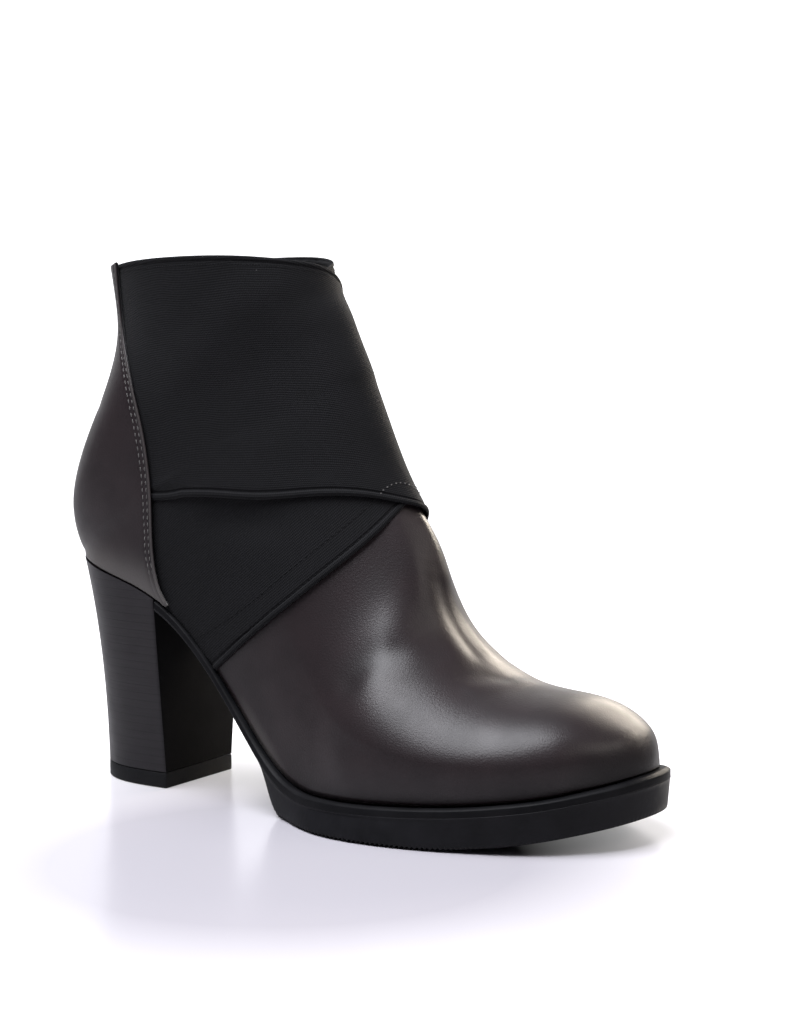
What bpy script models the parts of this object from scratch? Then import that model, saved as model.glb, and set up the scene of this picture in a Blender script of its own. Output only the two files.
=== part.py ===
"""Heeled ankle boot with two crossed elastic bands, a right boot, built over one last.

Tables and sizes are in millimetres: x forward, y to the left, z up, the ground at z = 0.
"""
import bpy
import bmesh
import numpy as np
from math import pi

for old in list(bpy.data.objects):
    bpy.data.objects.remove(old, do_unlink=True)

MM = 0.001
GAP = 0.3              # air between flat pieces that meet
SEAT_GAP = 0.4         # air between the curved feather line and the sole
WALL = 1.8             # vamp leather with its lining
BAND = 1.2             # woven elastic
COUNTER = 1.3          # counter leather with its folded edge
OVERLAY_GAP = 0.5      # air under a curved overlay
LAYER_GAP = 0.8        # air between the two bands where they cross
WELD = 0.00002         # metres, joins the points of a closed seam
MIDDLE = np.array([-2.15, -3.5, 0.0])    # the boot's own middle, which becomes the origin

# The last, one row per section from toe tip to collar. A section runs from its low point on the
# feather line (or, from the seat row on, the back seam) to its high point on the front ridge.
# right and left are half widths, tuck the feather width over the full width, level the share of the
# rise at the widest place, crown and seat the squareness above and below it, arch the upward bow of the
# section and swing its middle.
LAST_COLUMNS = ("low_x", "low_z", "high_x", "high_z", "right", "left",
                "tuck", "level", "crown", "seat", "arch", "swing")
LAST = (
    (121.7, 25.2, 121.7, 25.2, 0.0, 0.0, 0.96, 0.36, 2.5, 2.0, 0.0, 4.0),
    (119.8, 24.7, 118.0, 36.9, 11.5, 11.2, 0.96, 0.36, 2.5, 2.0, 0.0, 3.9),
    (114.8, 23.3, 112.6, 41.3, 21.6, 20.2, 0.96, 0.36, 2.4, 2.0, 0.0, 3.7),
    (106.2, 21.3, 104.9, 45.3, 30.8, 28.0, 0.96, 0.36, 2.3, 2.0, 0.0, 3.2),
    (93.8, 18.8, 91.1, 49.1, 39.2, 35.0, 0.96, 0.36, 2.1, 2.0, 0.0, 2.4),
    (72.0, 15.9, 68.1, 52.8, 46.9, 40.5, 0.96, 0.36, 1.9, 2.0, 0.0, 1.4),
    (46.0, 13.8, 50.0, 65.2, 50.6, 42.6, 0.96, 0.36, 1.65, 2.0, 0.0, 0.6),
    (17.0, 12.4, 41.3, 79.4, 48.0, 40.8, 0.95, 0.38, 1.6, 2.0, 0.0, 0.2),
    (-12.0, 18.5, 36.9, 95.5, 37.8, 36.0, 0.91, 0.4, 1.6, 2.0, 0.0, 0.0),
    (-42.0, 48.0, 30.1, 108.5, 32.5, 31.5, 0.86, 0.42, 1.7, 2.0, 0.0, 0.0),
    (-70.0, 73.2, 20.3, 123.9, 30.5, 30.0, 0.88, 0.44, 1.8, 2.0, 0.0, 0.0),
    (-96.0, 83.0, 11.9, 142.0, 30.0, 29.5, 0.865, 0.45, 1.9, 2.15, 0.0, 0.0),
    (-112.4, 86.8, 7.2, 152.8, 29.5, 29.2, 0.63, 0.45, 2.0, 2.3, 0.0, 0.0),
    (-119.8, 88.4, 4.8, 159.2, 29.2, 29.0, 0.31, 0.45, 2.0, 2.4, 0.0, 0.0),
    (-122.4, 89.0, 3.2, 163.8, 29.0, 28.8, 0.0, 0.45, 2.0, 2.4, 0.0, 0.0),
    (-127.2, 106.0, -1.7, 174.3, 28.5, 28.3, 0.0, 0.46, 2.0, 2.3, 0.2, 0.0),
    (-121.2, 128.0, -4.9, 181.1, 28.2, 28.0, 0.0, 0.47, 2.0, 2.2, 0.9, 0.0),
    (-111.7, 148.0, -7.8, 186.0, 28.0, 28.0, 0.0, 0.48, 2.0, 2.1, 2.0, 0.0),
    (-104.7, 169.0, -10.2, 189.4, 28.0, 28.0, 0.0, 0.49, 2.0, 2.0, 3.0, 0.0),
    (-104.8, 186.0, -11.8, 193.2, 28.0, 28.0, 0.0, 0.5, 2.0, 2.0, 4.4, 0.0),
    (-107.3, 200.3, -13.6, 199.0, 28.0, 28.0, 0.0, 0.5, 2.0, 2.0, 5.2, 0.0),
)
SEAT_ROW = 14          # the last's back at the heel seat: rows from here on close at the back seam
COLLAR_ROW = len(LAST) - 1
MOST_TUCK = 0.97       # keeps a little undercut everywhere

# Front edge of the counter, seen from the side, from the collar down to the feather line.
COUNTER_EDGE_COLUMNS = ("x", "z")
COUNTER_EDGE = (
    (-93.5, 203.0), (-93.4, 190.0), (-90.9, 177.0), (-85.2, 165.2), (-79.4, 151.5), (-75.2, 138.6),
    (-72.5, 126.0), (-71.0, 113.9), (-70.5, 97.2), (-69.4, 83.7), (-66.3, 75.2), (-58.0, 64.4),
)

# Edges of the over band, seen from the side, along its length: side is -1 right, 0 front ridge, 1 left.
BAND_COLUMNS = ("side", "low_x", "low_z", "high_x", "high_z")
BAND_EDGES = (
    (-1, -74.0, 113.0, -93.0, 201.6), (-1, -38.0, 115.0, -66.0, 204.4), (-1, -3.5, 116.5, -40.0, 204.9),
    (-1, 17.0, 116.0, -22.5, 203.5), (0, 28.0, 113.0, -13.8, 199.0), (1, 21.5, 103.5, -16.5, 192.5),
    (1, 8.0, 89.5, -26.0, 181.5), (1, -8.0, 76.5, -40.0, 169.0), (1, -25.0, 64.0, -57.0, 154.0),
    (1, -43.0, 50.5, -78.5, 134.0),
)

# Sole: how far welt and outsole stand out from the feather line, per section of the last.
SOLE_COLUMNS = ("row", "welt_out", "outsole_out", "draft")
SOLE = (
    (0.0, 3.8, 3.5, 0.6), (3.0, 3.8, 3.5, 0.6), (5.0, 3.7, 3.5, 0.3), (6.0, 3.6, 3.4, -1.8),
    (6.6, 3.4, 3.2, -3.0), (7.1, 3.3, 3.1, -2.8), (7.5, 3.2, 3.0, -0.6), (8.0, 3.0, 2.8, 1.8),
    (9.0, 1.9, 1.7, 0.4), (11.0, 1.5, 1.3, 0.4), (14.0, 1.4, 1.2, 0.4),
)
WELT_THICK = 3.2
WAIST_THICK = 1.6      # outsole under the welt, at the waist
BREAST_X = -73.3
FLAT_START_X = -11.0   # tread is flat on the ground from here
FLAT_END_X = 56.0      # to here, where the toe spring begins
PLATFORM_SLOPE = 2.0   # rise over run of the platform's rear face
REAR_ROUND = 4.0       # rounding between that face and the flat tread
PLATFORM_RUN = 13.0    # length of that face
TOE_SPRING = 11.0      # height of the outsole's underside at the toe tip
SPRING_CURVE = 1.7

LIFT_THICK = 6.0
HEEL_LEVELS = 8
HEEL_LENGTH_TAPER = 0.184
HEEL_WIDTH_TAPER = 0.247
HEEL_HOLLOW = 2.4      # more than 1 draws the back of the heel in early

INSOLE_THICK = 2.6
INSOLE_INSET = 3.3


def spline_bends(values, level_start=False):
    """Second derivatives of the cubic spline through evenly spaced values, free or level at its start."""
    count = len(values)
    system = np.eye(count)
    right_side = np.zeros(count)
    for i in range(1, count - 1):
        system[i, i - 1:i + 2] = (1.0, 4.0, 1.0)
        right_side[i] = 6.0 * (values[i + 1] - 2.0 * values[i] + values[i - 1])
    if level_start:
        system[0, :2] = (2.0, 1.0)
        right_side[0] = 6.0 * (values[1] - values[0])
    return np.linalg.solve(system, right_side)


def spline_at(values, bends, place):
    """Value of that spline at a place counted in rows."""
    place = np.clip(np.asarray(place, float), 0.0, len(values) - 1.0)
    low = np.minimum(place.astype(int), len(values) - 2)
    far = place - low
    near = 1.0 - far
    straight = values[low] * near + values[low + 1] * far
    bow = bends[low] * (near ** 3 - near) + bends[low + 1] * (far ** 3 - far)
    return straight + bow / 6.0


LAST_VALUES = {name: np.array([row[i] for row in LAST]) for i, name in enumerate(LAST_COLUMNS)}
CORNERED = ("low_x", "low_z", "tuck")              # columns that turn a corner at the seat row
ROUND_TOE = ("low_x", "low_z", "high_x", "swing")  # columns that cross the toe's middle level


def last_at(name, s):
    """One column of the last, smoothly between its rows."""
    values = LAST_VALUES[name]
    level = name in ROUND_TOE
    if name not in CORNERED:
        return spline_at(values, spline_bends(values, level), s)
    s = np.asarray(s, float)
    foot = values[:SEAT_ROW + 1]
    shaft = values[SEAT_ROW:]
    on_foot = spline_at(foot, spline_bends(foot, level), s)
    on_shaft = spline_at(shaft, spline_bends(shaft), s - SEAT_ROW)
    return np.where(s < SEAT_ROW, on_foot, on_shaft)


def feather_angle(s):
    """Angle of a section's lower end below its widest place."""
    tuck = np.clip(last_at("tuck", s), 0.0, MOST_TUCK)
    return -np.arccos(tuck ** (0.5 * last_at("seat", s)))


def surface(s, t):
    """Point of the last: s counts sections from the toe, t is 0 right feather, 1 ridge, 2 left feather."""
    s, t = np.broadcast_arrays(np.asarray(s, float), np.asarray(t, float))
    side = np.where(t <= 1.0, -1.0, 1.0)
    climb = np.where(t <= 1.0, t, 2.0 - t)
    half = np.where(side < 0.0, last_at("right", s), last_at("left", s))
    level = last_at("level", s)
    above = 2.0 / last_at("crown", s)
    below = 2.0 / last_at("seat", s)
    start = feather_angle(s)
    angle = start + (0.5 * pi - start) * climb
    over = np.clip(np.sin(angle), 0.0, 1.0) ** above
    under = (np.clip(np.sin(-angle), 0.0, 1.0) / np.sin(-start)) ** below
    rise = np.where(angle >= 0.0, level + (1.0 - level) * over, level * (1.0 - under))
    reach = np.clip(np.cos(angle), 0.0, 1.0) ** np.where(angle >= 0.0, above, below)
    x = last_at("low_x", s) + (last_at("high_x", s) - last_at("low_x", s)) * rise
    z = last_at("low_z", s) + (last_at("high_z", s) - last_at("low_z", s)) * rise
    z = z + 4.0 * last_at("arch", s) * rise * (1.0 - rise)
    y = last_at("swing", s) + side * half * reach
    return np.stack([x, y, z], axis=-1)


def outward(s, t):
    """Unit normal of the last, pointing out."""
    step = 0.02
    s = np.clip(s, 0.1, COLLAR_ROW)
    across = surface(s, np.clip(t + step, 0.0, 2.0)) - surface(s, np.clip(t - step, 0.0, 2.0))
    along = surface(np.clip(s + step, 0.0, COLLAR_ROW), t) - surface(np.clip(s - step, 0.0, COLLAR_ROW), t)
    normal = np.cross(across, along)
    return normal / np.linalg.norm(normal, axis=-1, keepdims=True)


def seam_safe_outward(s, t):
    """Outward normal that stays in the middle plane along the closed back seam."""
    normal = outward(s, t)
    on_seam = (np.minimum(t, 2.0 - t) < 1e-6) & (s >= SEAT_ROW)
    normal[..., 1] = np.where(on_seam, 0.0, normal[..., 1])
    return normal / np.linalg.norm(normal, axis=-1, keepdims=True)


SCAN = np.linspace(0.3, COLLAR_ROW, 2400)
SCAN_LOW = np.stack([last_at("low_x", SCAN), last_at("low_z", SCAN)], axis=-1)
SCAN_HIGH = np.stack([last_at("high_x", SCAN), last_at("high_z", SCAN)], axis=-1)
SCAN_STEPS = np.linalg.norm(np.diff(surface(SCAN, 0.5), axis=0), axis=1)
SCAN_RUN = np.concatenate([[0.0], np.cumsum(SCAN_STEPS)])


def to_run(places):
    """(section, turn) places with the section counted in millimetres along the side."""
    return np.stack([np.interp(places[..., 0], SCAN, SCAN_RUN), places[..., 1]], axis=-1)


def to_section(places):
    """The way back from to_run."""
    return np.stack([np.interp(places[..., 0], SCAN_RUN, SCAN), places[..., 1]], axis=-1)


def locate(x, z):
    """Section and climb of a place seen from the side."""
    line = SCAN_HIGH - SCAN_LOW
    bow = 0.0
    for _ in range(5):
        to_place = np.array([x, z - bow]) - SCAN_LOW
        cross = line[:, 0] * to_place[:, 1] - line[:, 1] * to_place[:, 0]
        turns = np.nonzero(np.sign(cross[:-1]) != np.sign(cross[1:]))[0]
        best = int(turns[0]) if len(turns) else len(SCAN) - 1
        s = SCAN[best]
        rise = np.clip(np.dot(to_place[best], line[best]) / np.dot(line[best], line[best]), 0.0, 1.0)
        bow = 4.0 * float(last_at("arch", s)) * rise * (1.0 - rise)
    level = float(last_at("level", s))
    start = float(feather_angle(s))
    if rise >= level:
        angle = np.arcsin(((rise - level) / (1.0 - level)) ** (float(last_at("crown", s)) / 2.0))
    else:
        angle = -np.arcsin((1.0 - rise / level) ** (float(last_at("seat", s)) / 2.0) * np.sin(-start))
    return s, (angle - start) / (0.5 * pi - start)


def place_on_last(x, z, side):
    """Section and turn of a table row (x, z, side)."""
    if side == 0:
        return SCAN[int(np.argmin(np.abs(SCAN_HIGH[:, 1] - z) + 0.3 * np.abs(SCAN_HIGH[:, 0] - x)))], 1.0
    s, climb = locate(x, z)
    return s, (climb if side < 0 else 2.0 - climb)


def curve_through(places, corner, before, after):
    """Curve of (section, turn) through a few places, evenly read before and after one of them."""
    places = to_run(np.array(places, float))
    at = np.linspace(0.0, len(places) - 1.0, 40 * len(places))
    curve = np.stack([spline_at(places[:, i], spline_bends(places[:, i]), at) for i in (0, 1)], axis=-1)
    curve = to_section(curve)
    points = surface(curve[:, 0], curve[:, 1])
    run = np.concatenate([[0.0], np.cumsum(np.linalg.norm(np.diff(points, axis=0), axis=1))])
    corner_run = np.interp(corner, at, run)
    even = np.concatenate([np.linspace(0.0, corner_run, before, endpoint=False),
                           np.linspace(corner_run, run[-1], after)])
    return np.stack([np.interp(even, run, curve[:, i]) for i in (0, 1)], axis=-1)


def counter_edge_x(z):
    """Front edge of the counter at a height."""
    table = np.array(COUNTER_EDGE)
    at = np.linspace(0.0, len(table) - 1.0, 200)
    x = spline_at(table[:, 0], spline_bends(table[:, 0]), at)
    height = spline_at(table[:, 1], spline_bends(table[:, 1]), at)
    return float(np.interp(z, height[::-1], x[::-1]))


def band_line(share):
    """Curve of (section, turn) along the over band, a share of the way across from its lower edge."""
    places = []
    for side, low_x, low_z, high_x, high_z in BAND_EDGES:
        z = low_z + (high_z - low_z) * share
        places.append([low_x + (high_x - low_x) * share, z, side])
    places[0][0] = counter_edge_x(places[0][1]) + EDGE_CLEAR
    foot_x, foot_z = BAND_EDGES[-1][1:3]
    free = max(0.0, 1.0 - (places[-1][1] - foot_z) / (BAND_HEEL_Z - foot_z))
    beside_counter = counter_edge_x(max(places[-1][1], BAND_HEEL_Z)) + EDGE_CLEAR
    places[-1][0] = foot_x * free + beside_counter * (1.0 - free)
    return curve_through([place_on_last(*place) for place in places], RIDGE_PLACE, RIGHT_STEPS, LEFT_STEPS)


def ease(value):
    """Smooth step from 0 to 1."""
    value = np.clip(value, 0.0, 1.0)
    return value * value * (3.0 - 2.0 * value)


def principled(name, colour, roughness):
    """Plain material."""
    material = bpy.data.materials.new(name)
    material.use_nodes = True
    shader = material.node_tree.nodes["Principled BSDF"]
    shader.inputs["Base Color"].default_value = (*colour, 1.0)
    shader.inputs["Roughness"].default_value = roughness
    shader.inputs["Metallic"].default_value = 0.0
    material.diffuse_color = (*colour, 1.0)
    return material


LEATHER = principled("leather", (0.034, 0.027, 0.028), 0.38)
ELASTIC = principled("elastic", (0.014, 0.013, 0.017), 0.85)
SOLE_RUBBER = principled("sole_rubber", (0.013, 0.013, 0.015), 0.45)
HEEL_BLOCK = principled("heel_block", (0.026, 0.021, 0.026), 0.40)
FOOTBED = principled("footbed", (0.05, 0.045, 0.045), 0.7)

BOOT = bpy.data.collections.new("ankle_boot")
bpy.context.scene.collection.children.link(BOOT)


def add_object(name, points, faces, material, thickness=None):
    """One closed piece; an open sheet gets its thickness inward or outward from Solidify."""
    shape = bmesh.new()
    corners = [shape.verts.new((point - MIDDLE) * MM) for point in points]
    for face in faces:
        shape.faces.new([corners[i] for i in face])
    bmesh.ops.remove_doubles(shape, verts=shape.verts, dist=WELD)
    bmesh.ops.dissolve_degenerate(shape, edges=shape.edges, dist=WELD)
    mesh = bpy.data.meshes.new(name)
    if thickness is None:
        bmesh.ops.recalc_face_normals(shape, faces=shape.faces)
    shape.to_mesh(mesh)
    shape.free()
    mesh.materials.append(material)
    piece = bpy.data.objects.new(name, mesh)
    BOOT.objects.link(piece)
    if thickness is not None:
        wall = piece.modifiers.new("wall", 'SOLIDIFY')
        wall.thickness = abs(thickness) * MM
        wall.offset = 1.0 if thickness > 0.0 else -1.0
    return piece


def sheet(name, points, material, thickness):
    """Sheet from a grid of points whose faces look outward."""
    rows, columns = points.shape[:2]
    faces = [(i * columns + j, i * columns + j + 1, (i + 1) * columns + j + 1, (i + 1) * columns + j)
             for i in range(rows - 1) for j in range(columns - 1)]
    return add_object(name, points.reshape(-1, 3), faces, material, thickness)


def block(name, levels, material):
    """Closed solid through levels of paired right and left outline points."""
    levels = np.array(levels)
    depth, count = levels.shape[:2]

    def corner(level, place, side):
        return (level * count + place) * 2 + side

    faces = []
    for level in (0, depth - 1):
        for i in range(count - 1):
            faces.append((corner(level, i, 0), corner(level, i + 1, 0),
                          corner(level, i + 1, 1), corner(level, i, 1)))
    for level in range(depth - 1):
        for side in (0, 1):
            for i in range(count - 1):
                faces.append((corner(level, i, side), corner(level, i + 1, side),
                              corner(level + 1, i + 1, side), corner(level + 1, i, side)))
        for i in (0, count - 1):
            faces.append((corner(level, i, 0), corner(level, i, 1),
                          corner(level + 1, i, 1), corner(level + 1, i, 0)))
    return add_object(name, levels.reshape(-1, 3), faces, material)


def spaced_rows(parts):
    """Section numbers: each part is (from, to, steps)."""
    runs = [np.linspace(a, b, n, endpoint=False) for a, b, n in parts]
    return np.concatenate(runs + [[parts[-1][1]]])


# Upper: one hollow lasted shell, open at the collar and underneath, closed by the back seam.
upper_rows = spaced_rows(((0.0, 3.0, 8), (3.0, 8.0, 9), (8.0, 11.0, 9),
                          (11.0, 15.0, 7), (15.0, COLLAR_ROW, 7)))
upper_turns = np.linspace(0.0, 2.0, 33)
grid_s, grid_t = np.meshgrid(upper_rows, upper_turns, indexing="ij")
sheet("upper", surface(grid_s, grid_t), LEATHER, -WALL)

# Counter: leather back piece over the upper, both sides in one sheet joined at the back seam.
COUNTER_GAP = 1.3      # air under the counter's round back
COUNTER_HEM = 0.058   # how far, in climb, its lower hem stays above the feather line
COUNTER_RISE = 0.2     # and, in rows, above the back of the seat
first_counter_row = locate(-65.5, 73.5)[0]
open_rows = spaced_rows(((first_counter_row, 13.0, 7), (13.0, 13.9, 3)))
closed_rows = spaced_rows(((SEAT_ROW + COUNTER_RISE, 15.0, 4), (15.0, COLLAR_ROW, 8)))
counter_rows = np.concatenate([open_rows, closed_rows])
edge_places = np.array([locate(counter_edge_x(z), z) for z in np.linspace(64.6, 203.5, 120)])
edge_order = np.argsort(edge_places[:, 0])
edge_climb = np.interp(counter_rows, edge_places[edge_order, 0], edge_places[edge_order, 1])
fractions = np.linspace(0.0, 1.0, 8)
low_climb = np.where(counter_rows < SEAT_ROW, np.minimum(COUNTER_HEM, 0.5 * edge_climb), 0.0)
right_turns = low_climb[:, None] + (edge_climb - low_climb)[:, None] * fractions[None, :]
counter_s = np.repeat(counter_rows[:, None], len(fractions), axis=1)
halves = []
for turn in (right_turns, 2.0 - right_turns[:, ::-1]):
    halves.append(surface(counter_s, turn) + seam_safe_outward(counter_s, turn) * COUNTER_GAP)
half_count = halves[0].shape[0] * halves[0].shape[1]
columns = len(fractions)
counter_faces = [(h * half_count + i * columns + j, h * half_count + i * columns + j + 1,
                  h * half_count + (i + 1) * columns + j + 1, h * half_count + (i + 1) * columns + j)
                 for h in range(2) for i in range(len(counter_rows) - 1) for j in range(columns - 1)]
counter_points = np.concatenate([half.reshape(-1, 3) for half in halves])
add_object("heel_counter", counter_points, counter_faces, LEATHER, COUNTER)

# Elastic bands: each is high on one side, turns over the front and runs down to the waist on the other.
RIDGE_PLACE = 4        # the row of the band's table that lies on the front ridge
RIGHT_STEPS = 25
LEFT_STEPS = 23
ACROSS = 10
EDGE_CLEAR = 1.2       # keeps a band's end off the counter
BAND_HEEL_Z = 67.0     # height where a band's lower end reaches the counter
RAMP_CLEAR = 5.0       # the upper layer stays lifted this far past the layer below
RAMP = 26.0            # and then comes down over this length

band = np.stack([band_line(share) for share in np.linspace(0.0, 1.0, ACROSS)], axis=1)
band_s = np.clip(band[..., 0], 0.0, COLLAR_ROW)
band_t = np.clip(band[..., 1], 0.0, 2.0)

# Where the over band lies on the under band: below its turning edge on the right, above its lower edge
# on the left.
flat = surface(band_s, band_t)
turn_low = np.array(BAND_EDGES[-1][3:])
turn_high = np.array(BAND_EDGES[-4][3:])
turn_line = (turn_high - turn_low) / np.linalg.norm(turn_high - turn_low)
above_turn = (flat[..., 2] - turn_low[1]) * turn_line[0] - (flat[..., 0] - turn_low[0]) * turn_line[1]
lift_right = 1.0 - ease((above_turn - RAMP_CLEAR) / RAMP)
lift_left = ease((flat[..., 2] - (BAND_EDGES[0][2] - RAMP_CLEAR - RAMP)) / RAMP)
lift = np.where(band_t <= 1.0, lift_right, lift_left)
over_height = OVERLAY_GAP + lift * (BAND + LAYER_GAP)
over_points = flat + outward(band_s, band_t) * over_height[..., None]
sheet("elastic_band_over", over_points[:, ::-1], ELASTIC, BAND)
under_points = surface(band_s, 2.0 - band_t) + outward(band_s, 2.0 - band_t) * OVERLAY_GAP
sheet("elastic_band_under", under_points, ELASTIC, BAND)


def feather(s, side, out):
    """Feather line of one side, moved out in plan."""
    def line(place):
        half = last_at("right", place) if side < 0 else last_at("left", place)
        return np.stack([last_at("low_x", place),
                         last_at("swing", place) + side * half * last_at("tuck", place)], axis=-1)

    step = 0.01
    run = line(np.clip(s + step, 0.0, SEAT_ROW)) - line(np.clip(s - step, 0.0, SEAT_ROW))
    run = run / np.linalg.norm(run, axis=-1, keepdims=True)
    normal = side * np.stack([run[..., 1], -run[..., 0]], axis=-1)
    plan = line(s) + normal * np.asarray(out)[..., None]
    return np.concatenate([plan, last_at("low_z", s)[..., None]], axis=-1)


def sole_at(name, s):
    """One column of the sole table at a section."""
    rows = np.array(SOLE)
    return np.interp(s, rows[:, 0], rows[:, SOLE_COLUMNS.index(name)])


def rows_at(xs):
    """Sections whose feather point has the given x."""
    scan = np.linspace(0.0, SEAT_ROW, 1401)
    return np.interp(-np.asarray(xs), -last_at("low_x", scan), scan)


def outline(s, out, z=None):
    """Paired right and left outline points at the given sections."""
    pairs = np.stack([feather(s, -1, out), feather(s, 1, out)], axis=1)
    if z is not None:
        pairs[..., 2] = z if np.ndim(z) == 2 else np.asarray(z)[..., None]
    return pairs


def underside(x, waist_z):
    """Height of the outsole's underside: waist, platform, flat tread, then toe spring."""
    spring = TOE_SPRING * np.clip((x - FLAT_END_X) / (SOLE_TIP_X - FLAT_END_X), 0.0, None) ** SPRING_CURVE
    back = np.clip(FLAT_START_X + REAR_ROUND - x, 0.0, None)
    rear = np.where(back < 2.0 * REAR_ROUND, back ** 2 / (4.0 * REAR_ROUND), back - REAR_ROUND)
    return np.where(x < FLAT_END_X, np.minimum(PLATFORM_SLOPE * rear, waist_z), spring)


# Welt and outsole: two plates on the last's own bottom line, from the heel breast to the toe.
SOLE_TIP_X = LAST[0][0] + SOLE[0][2]
toe_rows = spaced_rows(((0.0, 3.0, 12), (3.0, 6.0, 6)))[:-1]
ball_x = np.linspace(LAST[6][0], FLAT_START_X, 8)[:-1]
platform_x = np.linspace(FLAT_START_X, FLAT_START_X - PLATFORM_RUN, 7)[:-1]
waist_x = np.linspace(FLAT_START_X - PLATFORM_RUN, BREAST_X + GAP, 8)
sole_rows = np.concatenate([toe_rows, rows_at(np.concatenate([ball_x, platform_x, waist_x]))])
seat_z = last_at("low_z", sole_rows)
welt_top = outline(sole_rows, sole_at("welt_out", sole_rows), seat_z - SEAT_GAP)
welt_foot = outline(sole_rows, sole_at("welt_out", sole_rows), seat_z - SEAT_GAP - WELT_THICK)
block("welt", (welt_top, welt_foot), SOLE_RUBBER)

tread_top_z = seat_z - 2.0 * SEAT_GAP - WELT_THICK
tread_top = outline(sole_rows, sole_at("outsole_out", sole_rows), tread_top_z)
tread_foot = outline(sole_rows, sole_at("outsole_out", sole_rows) - sole_at("draft", sole_rows))
tread_foot[..., 2] = underside(last_at("low_x", sole_rows), tread_top_z - WAIST_THICK)[:, None]
block("outsole", (tread_top, tread_foot), SOLE_RUBBER)

# Heel: a D-shaped block under the seat, drawn in at the back, and its top lift on the ground.
heel_rows = np.concatenate([rows_at((BREAST_X, -80.0, -90.0, -98.0, -105.0)),
                            np.linspace(float(rows_at((-110.0,))[0]), SEAT_ROW, 9)])
heel_top = outline(heel_rows, sole_at("welt_out", heel_rows), last_at("low_z", heel_rows) - SEAT_GAP)
heel_top[0, :, 0] = BREAST_X
heel_top[-1] = heel_top[-1].mean(axis=0)


def heel_level(down, z):
    """Outline of the heel a share of the way down."""
    level = heel_top.copy()
    drawn_in = HEEL_LENGTH_TAPER * (1.0 - (1.0 - down) ** HEEL_HOLLOW)
    level[..., 0] = BREAST_X + (level[..., 0] - BREAST_X) * (1.0 - drawn_in)
    level[..., 1] = level[..., 1] * (1.0 - HEEL_WIDTH_TAPER * down)
    level[..., 2] = z
    return level


heel_foot_z = LIFT_THICK + GAP
heel_levels = []
for share in np.linspace(0.0, 1.0, HEEL_LEVELS):
    heel_levels.append(heel_level(share, heel_top[..., 2] * (1.0 - share) + heel_foot_z * share))
block("heel", heel_levels, HEEL_BLOCK)
block("heel_top_lift", (heel_level(1.0, LIFT_THICK), heel_level(1.0, 0.0)), SOLE_RUBBER)

# Insole: footbed plate inside the upper, on the welt and the heel seat.
insole_rows = spaced_rows(((0.5, 3.0, 8), (3.0, 12.0, 18), (12.0, 13.6, 6)))
insole_z = last_at("low_z", insole_rows)
insole_levels = [outline(insole_rows, np.full(len(insole_rows), -INSOLE_INSET), insole_z + rise)
                 for rise in (GAP + INSOLE_THICK, GAP)]
block("insole", insole_levels, FOOTBED)
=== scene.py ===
import bpy
import bmesh
import numpy as np
from math import pi, radians
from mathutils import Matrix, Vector
from mathutils.bvhtree import BVHTree


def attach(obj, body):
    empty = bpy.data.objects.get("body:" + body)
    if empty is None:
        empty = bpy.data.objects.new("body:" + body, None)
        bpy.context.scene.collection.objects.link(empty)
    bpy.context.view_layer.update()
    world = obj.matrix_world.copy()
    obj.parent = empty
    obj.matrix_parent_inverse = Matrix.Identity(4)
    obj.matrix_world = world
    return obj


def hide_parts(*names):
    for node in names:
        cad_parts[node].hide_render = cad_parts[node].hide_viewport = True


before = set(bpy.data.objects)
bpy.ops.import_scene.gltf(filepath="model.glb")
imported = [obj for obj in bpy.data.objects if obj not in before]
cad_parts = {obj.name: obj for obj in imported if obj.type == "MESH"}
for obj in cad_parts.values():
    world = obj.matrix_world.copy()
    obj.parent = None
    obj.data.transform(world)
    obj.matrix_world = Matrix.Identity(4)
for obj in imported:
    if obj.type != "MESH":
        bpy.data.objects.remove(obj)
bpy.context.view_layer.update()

# Upper: one skin of smooth dark leather on a thin lining, wetted, pulled over the last and cemented
# under at the feather line. Lasting leaves soft folds down the instep and a fine grain all over.
# All tables are in millimetres: x forward, y to the left, z up from the floor.
MM = 0.001
MIDDLE = np.array([-2.15, -3.5, 0.0])    # the boot's own middle, which is the frame's origin
WALL = 1.8

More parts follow.
